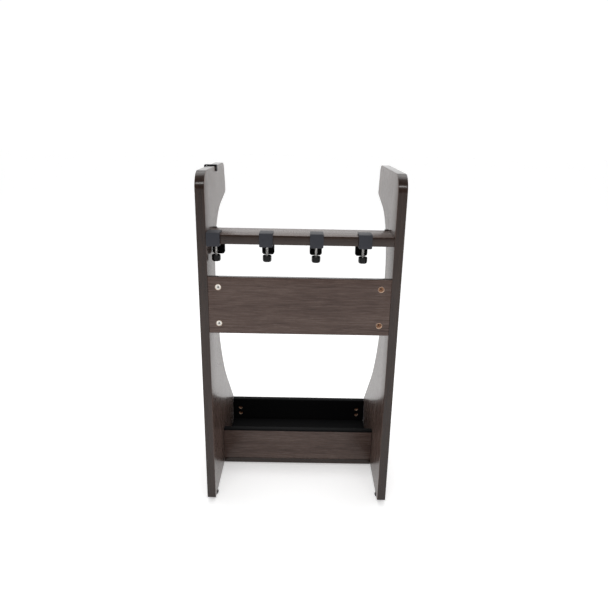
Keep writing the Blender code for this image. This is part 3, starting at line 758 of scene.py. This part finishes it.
def turned_mesh(name, profile, sides=64):
    """Turns (radius, height) points round Z into a closed mesh. The first and last radius may be zero."""
    bm = bmesh.new()
    verts = [bm.verts.new((radius, 0.0, height)) for radius, height in profile]
    edges = [bm.edges.new(pair) for pair in zip(verts, verts[1:])]
    bmesh.ops.spin(bm, geom=verts + edges, axis=(0, 0, 1), cent=(0, 0, 0), angle=2 * pi, steps=sides)
    bmesh.ops.remove_doubles(bm, verts=bm.verts, dist=COARSE_WELD)
    bmesh.ops.recalc_face_normals(bm, faces=bm.faces)
    return mesh_from(name, bm)


def grown_piece(name, start, tree, settings, matrix, material):
    """A piece grown from a start mesh by one of the geometry trees, and put in place by a matrix."""
    mesh = grow(name, start, TREES[tree], {**settings, "Material": material})
    mesh.transform(matrix)
    face_out(mesh)
    return add_piece(name, mesh, material)


def sharp_plate(name, corners, thickness, material, matrix):
    """A plate from an outline, put in place by a matrix."""
    return grown_piece(name, outline_mesh(name, corners), "plate", {"Thickness": thickness}, matrix, material)


def plate(name, corners, thickness, material, matrix, rounding, steps=ROUNDING_STEPS):
    """A plate from an outline, rounded along its edges and put in place by a matrix."""
    obj = sharp_plate(name, corners, thickness, material, matrix)
    add_rounding(obj, rounding, steps)
    apply_modifiers(obj)
    smooth(obj)
    return obj


def mark_edge_band(obj, thin_axis):
    """Marks the faces along the edges of a board, which are covered with a darker band."""
    band = obj.data.attributes.new("edge_band", "FLOAT", "FACE")
    marks = [abs(face.normal[thin_axis]) < EDGE_BAND_SLANT for face in obj.data.polygons]
    band.data.foreach_set("value", marks)


def mark_painted_recess_shade(mesh, reach, depth):
    """Marks the faces inside the cross recess of a cam lock, which the metal finishes paint dark as painted
    shade.
    """
    recess = mesh.attributes.new("recess", "FLOAT", "FACE")
    inside = [face.center.xy.length < reach and face.center.z > depth for face in mesh.polygons]
    recess.data.foreach_set("value", [float(value) for value in inside])


def stand_for(obj, body, slot, *nodes):
    """The piece rides on a body and stands for CAD nodes, which it hides. slot is not used."""
    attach(obj, body)
    if nodes:
        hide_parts(*nodes)
    return obj


# ---- the rack's own frame

LEFT_LOW, LEFT_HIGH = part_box("left_side_panel")
RIGHT_LOW, RIGHT_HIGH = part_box("right_side_panel")
RACK_ORIGIN = Vector(((LEFT_LOW.x + RIGHT_HIGH.x) / 2, LEFT_LOW.y, LEFT_LOW.z))
PANEL_THICKNESS = LEFT_HIGH.x - LEFT_LOW.x
PANEL_HEIGHT = LEFT_HIGH.z - LEFT_LOW.z
PANEL_DEPTH = LEFT_HIGH.y - LEFT_LOW.y

# Plates are drawn in (y, z) and get their thickness along x, or are drawn in (x, z) with theirs along y
ACROSS_X = Matrix(((0, 0, 1, 0), (1, 0, 0, 0), (0, 1, 0, 0), (0, 0, 0, 1)))
ACROSS_Y = Matrix(((1, 0, 0, 0), (0, 0, -1, 0), (0, 1, 0, 0), (0, 0, 0, 1)))
TREES = {"plate": plate_tree(), "thread": thread_tree(), "knob": knob_tree(), "copies": copies_tree()}


def place_camera():
    ahead = Vector((sin(CAMERA_YAW), cos(CAMERA_YAW), 0.0))
    forward = cos(CAMERA_DROP) * ahead - Vector((0.0, 0.0, sin(CAMERA_DROP)))
    level = Vector((cos(CAMERA_YAW), -sin(CAMERA_YAW), 0.0))
    down = forward.cross(level)
    right = cos(CAMERA_ROLL) * level + sin(CAMERA_ROLL) * down
    up = sin(CAMERA_ROLL) * level - cos(CAMERA_ROLL) * down
    camera = bpy.data.objects.new("camera", bpy.data.cameras.new("camera"))
    bpy.context.scene.collection.objects.link(camera)
    camera.data.lens = LENS_MM
    camera.data.sensor_width = SENSOR_MM
    turn = Matrix((right, up, -forward)).transposed()
    camera.matrix_world = Matrix.Translation(RACK_ORIGIN + Vector(CAMERA_FROM_RACK)) @ turn.to_4x4()
    bpy.context.scene.camera = camera


def panel_corners():
    """A side panel's outline as (y, height, radius, steps) corners from the rear bottom corner."""
    flare_drop = FLARE_RADIUS * tan(FLARE_ANGLE / 2)
    flare_corner = WAIST_HEIGHT - flare_drop
    toe_height = flare_corner - (PANEL_DEPTH - WAIST_Y) / tan(FLARE_ANGLE)
    throat_corner = WAIST_HEIGHT + THROAT_RADIUS * tan((pi / 2 - HEAD_SLOPE) / 2)
    head_low = throat_corner + (HEAD_LOW_Y - WAIST_Y) * tan(HEAD_SLOPE)
    corners = (
        (0.0, 0.0, REAR_BOTTOM_RADIUS),
        (PANEL_DEPTH, 0.0, TOE_BOTTOM_RADIUS),
        (PANEL_DEPTH, toe_height, TOE_TOP_RADIUS),
        (WAIST_Y, flare_corner, FLARE_RADIUS * FILLET_SHARE),
        (WAIST_Y, throat_corner, THROAT_RADIUS * FILLET_SHARE),
        (HEAD_LOW_Y, head_low, HEAD_LOW_RADIUS),
        (HEAD_TOP_Y, PANEL_HEIGHT, HEAD_TOP_RADIUS),
        (0.0, PANEL_HEIGHT, REAR_TOP_RADIUS),
    )
    return with_steps(corners, PANEL_CORNER_STEPS)


def make_side_panels(finish):
    for name, low, high in (("left", LEFT_LOW, LEFT_HIGH), ("right", RIGHT_LOW, RIGHT_HIGH)):
        middle = Vector(((low.x + high.x) / 2, low.y, low.z))
        matrix = Matrix.Translation(middle) @ ACROSS_X
        panel = plate(f"{name}_panel", panel_corners(), PANEL_THICKNESS, finish, matrix, PANEL_ROUNDING)
        mark_edge_band(panel, 0)
        stand_for(panel, "rack_frame", "dark_wood", f"{name}_side_panel")


def cam_mouths(prefix):
    """The middle of the outer face of each of the four cam locks in a board's rear face."""
    mouths = []
    for side in ("left", "right"):
        for level in ("lower", "upper"):
            low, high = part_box(f"{prefix}_cam_lock_{level}_{side}")
            mouths.append(Vector(((low.x + high.x) / 2, low.y, (low.z + high.z) / 2)))
    return mouths


def rail_cam_mouths():
    mouths = []
    for side in ("left", "right"):
        low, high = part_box(f"rail_cam_lock_{side}")
        mouths.append(Vector(((low.x + high.x) / 2, (low.y + high.y) / 2, low.z)))
    return mouths


def make_board(name, node, finish, mouths=(), inward=(0.0, 1.0, 0.0), depth=0.0):
    """A board with rounded edges, and with round holes of that depth at the mouths."""
    low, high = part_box(node)
    board = rounded_box(name, node, BOARD_ROUNDING, finish)
    for index, mouth in enumerate(mouths):
        start = mouth - Vector(inward) * HOLE_START
        end = mouth + Vector(inward) * depth
        combine(board, rod_between(f"{name}_cut_{index}", start, end, CAM_HOLE_RADIUS), "DIFFERENCE")
    if mouths:
        smooth(board)
    size = high - low
    mark_edge_band(board, min(range(3), key=lambda axis: size[axis]))
    return stand_for(board, "rack_frame", "dark_wood", node)


def make_boards():
    back_mouths = cam_mouths("back")
    lip_mouths = cam_mouths("lip")
    back_depth = depth_of("back_cam_lock_lower_left", 1)
    lip_depth = depth_of("lip_cam_lock_lower_left", 1)
    rail_depth = depth_of("rail_cam_lock_left", 2)
    back_finish = laminate("laminate_back_board", 0, spread_of(back_mouths, back_depth))
    lip_finish = laminate("laminate_lip_board", 0, spread_of(lip_mouths, lip_depth))
    plain = laminate("laminate_boards", 0)
    make_board("neck_rail_board", "neck_rail", plain, rail_cam_mouths(), (0.0, 0.0, 1.0), rail_depth)
    make_board("back_board", "back_panel", back_finish, back_mouths, depth=back_depth)
    make_board("lip_board", "tray_front_lip", lip_finish, lip_mouths, depth=lip_depth)
    make_board("tray_board", "tray_shelf", plain)
    make_board("tray_back_board", "tray_rear_board", plain)


def spread_of(mouths, depth):
    """The middle of four mouths in a rectangle, half its sides along x and z, and the holes' depth."""
    middle = sum(mouths, Vector()) / len(mouths)
    return middle, (abs(mouths[0].x - middle.x), abs(mouths[0].z - middle.z)), depth


def depth_of(node, axis):
    low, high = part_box(node)
    return high[axis] - low[axis] + CAM_HOLE_FLOOR


# ---- cam locks, bolts and feet


def cam_shape(depth, sink):
    """One cam lock: a turned body whose face, down -Z, has a rim, a shallow dish and a cross recess.

    sink is how far the face lies below the mouth of its hole.
    """
    rim = CAM_RADIUS - CAM_RIM
    profile = (
        (0.0, sink + CAM_DISH),
        (rim - CAM_CHAMFER, sink + CAM_DISH),
        (rim, sink + CAM_CHAMFER),
        (rim + CAM_CHAMFER, sink),
        (CAM_RADIUS - CAM_CHAMFER, sink),
        (CAM_RADIUS, sink + CAM_CHAMFER),
        (CAM_RADIUS, depth - CAM_CHAMFER),
        (CAM_RADIUS - CAM_CHAMFER, depth),
        (0.0, depth),
    )
    obj = add_piece("cam_shape", turned_mesh("cam_shape", profile))
    for turn in (0.0, pi / 2):
        size = (CROSS_LENGTH, CROSS_WIDTH, CROSS_DEPTH * 2)
        half = Vector(size) / 2
        slot_cut = add_piece("cross", box_mesh("cross", -half, half))
        place = Matrix.Translation((0, 0, sink + CAM_DISH))
        slot_cut.data.transform(place @ Matrix.Rotation(turn + CROSS_TURN, 4, "Z"))
        combine(obj, slot_cut, "DIFFERENCE")
    # These faces get painted shade in the metal finish
    mark_painted_recess_shade(obj.data, CROSS_LENGTH / 2, sink + CAM_DISH + CAM_CHAMFER / 2)
    return obj


def copies(name, shape, places, turn, finish):
    """Copies of a shape at places, all turned alike. The shape's own object is removed."""
    start = points_mesh(name, places, turn)
    obj = grown_piece(name, start, "copies", {"Object": shape}, Matrix(), finish)
    bpy.data.objects.remove(shape)
    smooth(obj)
    return obj


def make_cam_locks(finishes):
    """The back panel's cam locks are flush at the left and sunk at the right. The lip's are all sunk. Sunk
    ones get a darker, browner copy of the cam metal as painted shade.
    """
    depth = depth_of("back_cam_lock_lower_left", 1) - CAM_HOLE_FLOOR
    face_rear = (-pi / 2, 0.0, 0.0)
    for side in ("left", "right"):
        for prefix in ("back", "lip"):
            sink = CAM_SINK[f"{prefix}_{side}"]
            # Cams sunk in their holes take the darker copy of the cam metal, painted shade
            finish = finishes["zinc_casting" if sink == 0.0 else "sunk_cam_painted_shade"]
            mouths = [mouth for mouth in cam_mouths(prefix) if (mouth.x < 0) == (side == "left")]
            name = f"{prefix}_cam_locks_{side}"
            obj = copies(name, cam_shape(depth, sink), mouths, face_rear, finish)
            nodes = [f"{prefix}_cam_lock_{level}_{side}" for level in ("lower", "upper")]
            stand_for(obj, "rack_frame", "zinc", *nodes)
    rail_depth = depth_of("rail_cam_lock_left", 2) - CAM_HOLE_FLOOR
    shape = cam_shape(rail_depth, 0.0)
    obj = copies("rail_cam_locks", shape, rail_cam_mouths(), UNTURNED, finishes["zinc_casting"])
    stand_for(obj, "rack_frame", "zinc", "rail_cam_lock_left", "rail_cam_lock_right")


def make_feet(finish):
    """Rubber glides with a countersunk hole, under the ends of the side panels."""
    nodes = [f"foot_{end}_{side}" for end in ("front", "rear") for side in ("left", "right")]
    low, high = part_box(nodes[0])
    radius = (high.x - low.x) / 2
    height = high.z - low.z
    edge = FOOT_ROUNDING * FOOT_EDGE_SHARE
    profile = (
        (0.0, FOOT_RECESS_DEPTH),
        (FOOT_SCREW_RADIUS, FOOT_RECESS_DEPTH),
        (FOOT_RECESS_RADIUS, 0.0),
        (radius - FOOT_ROUNDING, 0.0),
        (radius - edge, edge),
        (radius, FOOT_ROUNDING),
        (radius, height - FOOT_ROUNDING),
        (radius - edge, height - edge),
        (radius - FOOT_ROUNDING, height),
        (0.0, height),
    )
    shape = add_piece("foot_shape", turned_mesh("foot_shape", profile))
    places = []
    for node in nodes:
        low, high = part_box(node)
        places.append(((low.x + high.x) / 2, (low.y + high.y) / 2, low.z))
    feet = copies("feet", shape, places, UNTURNED, finish)
    stand_for(feet, "rack_frame", "black_rubber", *nodes)


# ---- padding


def hooked_pad(name, node, lined, outward, top, finish):
    """A sheet of foam that lines one face of a board and folds over its top edge with a soft bend.

    lined and top are the pad's own faces against the board, and outward is the way that it faces along Y.
    """
    low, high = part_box(node)
    near = low.y if outward < 0 else high.y
    far = high.y if outward < 0 else low.y
    corners = (
        (lined, low.z, PAD_FOOT_RADIUS),
        (near, low.z, PAD_FOOT_RADIUS),
        (near, high.z, PAD_FOLD_RADIUS),
        (far, high.z, PAD_END_RADIUS),
        (far, top, PAD_TIP_RADIUS),
        (lined, top, PAD_INNER_RADIUS),
    )
    corners = with_steps(corners, PAD_CORNER_STEPS)
    matrix = Matrix.Translation(((low.x + high.x) / 2, 0.0, 0.0)) @ ACROSS_X
    return plate(name, corners, high.x - low.x, finish, matrix, PAD_SIDE_ROUNDING, PAD_SIDE_STEPS)


def make_tray_padding(finish):
    floor_pad = rounded_box("floor_cushion", "tray_floor_pad", PAD_ROUNDING, finish, PAD_STEPS)
    stand_for(floor_pad, "rack_frame", "black_foam", "tray_floor_pad")
    board_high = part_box("tray_rear_board")[1]
    rear_pad = hooked_pad("rear_cushion", "tray_rear_pad", board_high.y + FIT, 1, board_high.z + FIT, finish)
    stand_for(rear_pad, "rack_frame", "black_foam", "tray_rear_pad")
    lip_low, lip_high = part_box("tray_front_lip")
    front_pad = hooked_pad("front_cushion", "tray_front_pad", lip_low.y - FIT, -1, lip_high.z + FIT, finish)
    pad_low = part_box("tray_front_pad")[0]
    for index, mouth in enumerate(cam_mouths("lip")):
        start = Vector((mouth.x, pad_low.y - HOLE_START, mouth.z))
        end = Vector((mouth.x, lip_low.y, mouth.z))
        combine(front_pad, rod_between(f"window_{index}", start, end, CAM_HOLE_RADIUS), "DIFFERENCE")
    smooth(front_pad)
    stand_for(front_pad, "rack_frame", "black_foam", "tray_front_pad")


def make_rail_padding(foam_finish, cap_finish):
    strip = rounded_box("rail_cushion", "neck_rail_pad", PAD_ROUNDING, foam_finish, PAD_STEPS)
    stand_for(strip, "rack_frame", "black_foam", "neck_rail_pad")
    for side in ("left", "right"):
        node = f"rail_pad_cap_{side}"
        cap = rounded_box(f"pad_cap_{side}", node, PAD_ROUNDING, cap_finish, PAD_STEPS)
        stand_for(cap, "rack_frame", "black_plastic", node)


def soften(name, node, finish):
    """A foam moulding: the node's shape with every edge rounded off."""
    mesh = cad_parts[node].data.copy()
    mesh.transform(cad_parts[node].matrix_world)
    face_out(mesh)
    obj = add_piece(name, mesh, finish)
    remesh = obj.modifiers.new("remesh", "REMESH")
    remesh.mode = "VOXEL"
    remesh.voxel_size = DIVIDER_VOXEL
    rounding = obj.modifiers.new("smooth", "SMOOTH")
    rounding.factor = DIVIDER_SMOOTH_SHARE
    rounding.iterations = DIVIDER_SMOOTHING
    apply_modifiers(obj)
    obj.data.materials.clear()
    obj.data.materials.append(finish)
    obj.data.shade_smooth()
    return obj


# ---- clamps


def clamp_plate(name, low, high, finish):
    """A C bracket of thick plate. Its rear corners are soft bends and its lower corners are cut off."""
    rail_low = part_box("neck_rail")[0]
    middle = (low.x + high.x) / 2
    half = (high.x - low.x) / 2
    jaw_top = low.z + CLAMP_PLATE
    inside = low.y + CLAMP_PLATE
    flange_under = high.z - CLAMP_PLATE
    bend = (CLAMP_BEND, CLAMP_BEND_STEPS)
    edge = (CLAMP_ROUNDING, CLAMP_EDGE_STEPS)
    corners = (
        (low.y, low.z, *bend),
        (rail_low.y + JAW_REACH, low.z, *edge),
        (rail_low.y + JAW_REACH, jaw_top, *edge),
        (inside, jaw_top, *edge),
        (inside, flange_under, *edge),
        (rail_low.y + FLANGE_REACH, flange_under, *edge),
        (rail_low.y + FLANGE_REACH, high.z, *edge),
        (low.y, high.z, *bend),
    )
    matrix = Matrix.Translation((middle, 0.0, 0.0)) @ ACROSS_X
    body = sharp_plate(name, corners, high.x - low.x, finish, matrix)
    reach = CLAMP_ROUNDING
    square = (0.0, 1)
    trim = (
        (-half + CLAMP_LOW_CORNER, low.z - reach, *square),
        (half - CLAMP_LOW_CORNER, low.z - reach, *square),
        (half + reach, low.z + CLAMP_LOW_CORNER, *square),
        (half + reach, high.z + reach, *square),
        (-half - reach, high.z + reach, *square),
        (-half - reach, low.z + CLAMP_LOW_CORNER, *square),
    )
    matrix = Matrix.Translation((middle, low.y, 0.0)) @ ACROSS_Y
    combine(body, sharp_plate("trim", trim, TRIM_LENGTH, finish, matrix), "INTERSECT")
    return body


def make_clamp_body(index, finish):
    """The bracket, and the narrow arm that runs on from its jaw with a bore for the screw."""
    low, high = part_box(f"clamp_body_{index}")
    body = clamp_plate(f"clamp_frame_{index}", low, high, finish)
    pad_low, pad_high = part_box(f"pressure_pad_{index}")
    middle = (low.x + high.x) / 2
    screw_y = (pad_low.y + pad_high.y) / 2
    jaw_top = low.z + CLAMP_PLATE
    arm_low = (middle - ARM_WIDTH / 2, screw_y, low.z)
    arm_high = (middle + ARM_WIDTH / 2, high.y, jaw_top)
    combine(body, add_piece("arm", box_mesh("arm", arm_low, arm_high)), "UNION")
    screw_low, screw_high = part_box(f"clamp_screw_{index}")
    end = (middle, screw_y, jaw_top + HOLE_START)
    for name, bottom, width in (
        ("bore", low.z - HOLE_START, screw_high.x - screw_low.x),
        ("pocket", pad_low.z - POCKET_BELOW_PAD, pad_high.x - pad_low.x),
    ):
        hole = rod_between(name, (middle, screw_y, bottom), end, width / 2 + SCREW_FIT)
        combine(body, hole, "DIFFERENCE")
    add_rounding(body, CLAMP_ROUNDING)
    apply_modifiers(body)
    smooth(body)
    return stand_for(body, f"clamp_{index}", "grey_metal", f"clamp_body_{index}")


def make_screw(index, steel):
    low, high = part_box(f"clamp_screw_{index}")
    settings = {
        "Radius": (high.x - low.x) / 2,
        "Length": high.z - low.z,
        "Pitch": SCREW_PITCH,
        "Depth": THREAD_DEPTH,
    }
    place = Matrix.Translation((low + high) / 2)
    screw = grown_piece(f"threaded_screw_{index}", no_mesh(), "thread", settings, place, steel)
    smooth(screw, THREAD_SMOOTH_ANGLE)
    stand_for(screw, f"clamp_{index}_screw", "steel", f"clamp_screw_{index}")


def make_knob(index, finish):
    low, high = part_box(f"clamp_knob_{index}")
    screw_low, screw_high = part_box(f"clamp_screw_{index}")
    settings = {
        "Radius": (high.x - low.x) / 2,
        "Height": high.z - low.z,
        "Lobes": float(KNOB_LOBES),
        "Lobe Depth": KNOB_LOBE_DEPTH,
        "Top Rounding": KNOB_TOP_ROUNDING,
        "Foot Rounding": KNOB_FOOT_ROUNDING,
    }
    middle = (low + high) / 2
    place = Matrix.Translation(middle)
    knob = grown_piece(f"grip_knob_{index}", no_mesh(), "knob", settings, place, finish)
    start = (middle.x, middle.y, screw_low.z - FIT)
    end = (middle.x, middle.y, high.z + HOLE_START)
    seat_radius = (screw_high.x - screw_low.x) / 2 + FIT
    combine(knob, rod_between("seat", start, end, seat_radius), "DIFFERENCE")
    smooth(knob, KNOB_SMOOTH_ANGLE)
    stand_for(knob, f"clamp_{index}_screw", "black_plastic", f"clamp_knob_{index}")


def make_pressure_pad(index, finish):
    low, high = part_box(f"pressure_pad_{index}")
    radius = (high.x - low.x) / 2
    height = high.z - low.z
    edge = PRESSURE_PAD_ROUNDING
    profile = (
        (0.0, 0.0),
        (radius - edge, 0.0),
        (radius, edge),
        (radius, height - edge),
        (radius - edge, height),
        (0.0, height),
    )
    mesh = turned_mesh("disc", profile, DISC_SIDES)
    mesh.transform(Matrix.Translation(((low.x + high.x) / 2, (low.y + high.y) / 2, low.z)))
    disc = add_piece(f"pressure_disc_{index}", mesh, finish)
    smooth(disc)
    stand_for(disc, f"clamp_{index}_pad", "black_rubber", f"pressure_pad_{index}")


def make_clamps(finishes):
    for index in range(1, CLAMP_COUNT + 1):
        make_clamp_body(index, finishes["slate_powder_coat"])
        make_screw(index, finishes["bright_steel"])
        make_knob(index, finishes["knob_plastic"])
        make_pressure_pad(index, finishes["moulded_rubber"])
        divider = soften(f"neck_cushion_{index}", f"neck_divider_{index}", finishes["closed_cell_foam"])
        stand_for(divider, f"clamp_{index}", "black_foam", f"neck_divider_{index}")


# ---- hook


def make_hook(finish):
    """A bent strap over the left panel's top edge, down its outer face and up to a rounded tip."""
    low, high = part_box("accessory_hook")
    strap = HOOK_STRAP
    leg_x = LEFT_HIGH.x + FIT
    leg_end = LEFT_HIGH.z - HOOK_INNER_LEG
    rest = LEFT_HIGH.z + FIT
    near = LEFT_LOW.x - HOOK_STANDOFF
    tip_x = near - 2 * HOOK_OUTER_RADIUS
    bend_z = LEFT_HIGH.z - HOOK_OUTER_LEG
    tip = bend_z + HOOK_TIP_HEIGHT
    bottom = bend_z - HOOK_OUTER_RADIUS
    outer = HOOK_OUTER_RADIUS * FILLET_SHARE
    inner = (HOOK_OUTER_RADIUS - strap) * FILLET_SHARE
    corners = (
        (leg_x, leg_end, HOOK_END_RADIUS),
        (leg_x + strap, leg_end, HOOK_END_RADIUS),
        (leg_x + strap, rest + strap, HOOK_BEND),
        (near - strap, rest + strap, HOOK_BEND),
        (near - strap, bottom + strap, inner),
        (tip_x + strap, bottom + strap, inner),
        (tip_x + strap, tip, HOOK_END_RADIUS),
        (tip_x, tip, HOOK_END_RADIUS),
        (tip_x, bottom, outer),
        (near, bottom, outer),
        (near, rest, HOOK_END_RADIUS),
        (leg_x, rest, HOOK_END_RADIUS),
    )
    corners = with_steps(corners, HOOK_CORNER_STEPS)
    matrix = Matrix.Translation((0.0, (low.y + high.y) / 2, 0.0)) @ ACROSS_Y
    hook = plate("strap_hook", corners, high.y - low.y, finish, matrix, HOOK_ROUNDING)
    stand_for(hook, "hook", "black_steel", "accessory_hook")


# ---- stage


def make_floor():
    settings = {
        "Base Color": FLOOR_COLOUR,
        "Roughness": FLOOR_ROUGHNESS,
        "Specular IOR Level": FLOOR_SPECULAR,
        "Emission Color": WHITE,
        "Emission Strength": FLOOR_GLOW,
    }
    material = new_finish("floor", settings)[0]
    bm = bmesh.new()
    bmesh.ops.create_grid(bm, x_segments=1, y_segments=1, size=FLOOR_SIZE / 2)
    mesh = mesh_from("floor", bm)
    mesh.transform(Matrix.Translation((0.0, 0.0, CAD_BOUNDS[0][2])))
    add_piece("floor", mesh, material)


def make_room():
    """Light from a bright room in front of the rack's open side and a dim one behind its back panel.

    The backdrop itself is plain white.
    """
    world = bpy.data.worlds.new("room")
    bpy.context.scene.world = world
    world.use_nodes = True
    graph = Graph(world.node_tree)
    background = world.node_tree.nodes["Background"]
    direction = graph.value("ShaderNodeTexCoord", None, None, "Generated")
    _, ahead, up = graph.axes(direction)
    share = graph.maths("ADD", ahead * ROOM_SLOPE + up * ROOM_RISE, ROOM_MIDDLE, clamp=True)
    light = ROOM_STRENGTH_REAR + (ROOM_STRENGTH_FRONT - ROOM_STRENGTH_REAR) * share
    seen = graph.value("ShaderNodeLightPath", None, None, "Is Camera Ray")
    strength = light + seen * (BACKDROP_STRENGTH - light)
    graph.feed(background.inputs["Color"], WHITE)
    graph.feed(background.inputs["Strength"], strength)


def make_lights():
    for name, place, target, size, power in LIGHTS:
        light = bpy.data.lights.new(name, "AREA")
        light.shape = "RECTANGLE"
        light.size, light.size_y = size
        light.energy = power
        obj = bpy.data.objects.new(name, light)
        bpy.context.scene.collection.objects.link(obj)
        turn = (Vector(target) - Vector(place)).to_track_quat("-Z", "Y").to_matrix().to_4x4()
        obj.matrix_world = Matrix.Translation(place) @ turn


def finish_hidden_bolts(steel):
    """The cam bolts keep their own shapes."""
    for name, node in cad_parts.items():
        if "cam_bolt" in name:
            node.data.materials.clear()
            node.data.materials.append(steel)


def make_finishes():
    """Every finish but the laminates, by its name."""
    finishes = {name: coating(name, *values) for name, values in COATINGS.items()}
    for name, values in METALS.items():
        finishes[name] = metal(name, *values)
    finishes["closed_cell_foam"] = foam("closed_cell_foam")
    return finishes


def main():
    bpy.context.scene.view_settings.view_transform = "Standard"
    place_camera()
    make_floor()
    make_room()
    make_lights()
    finishes = make_finishes()
    make_side_panels(laminate("laminate_side_panels", 2))
    make_boards()
    make_cam_locks(finishes)
    make_feet(finishes["moulded_rubber"])
    make_tray_padding(finishes["closed_cell_foam"])
    make_rail_padding(finishes["closed_cell_foam"], finishes["cap_plastic"])
    make_clamps(finishes)
    make_hook(finishes["black_enamel"])
    finish_hidden_bolts(finishes["bright_steel"])


main()
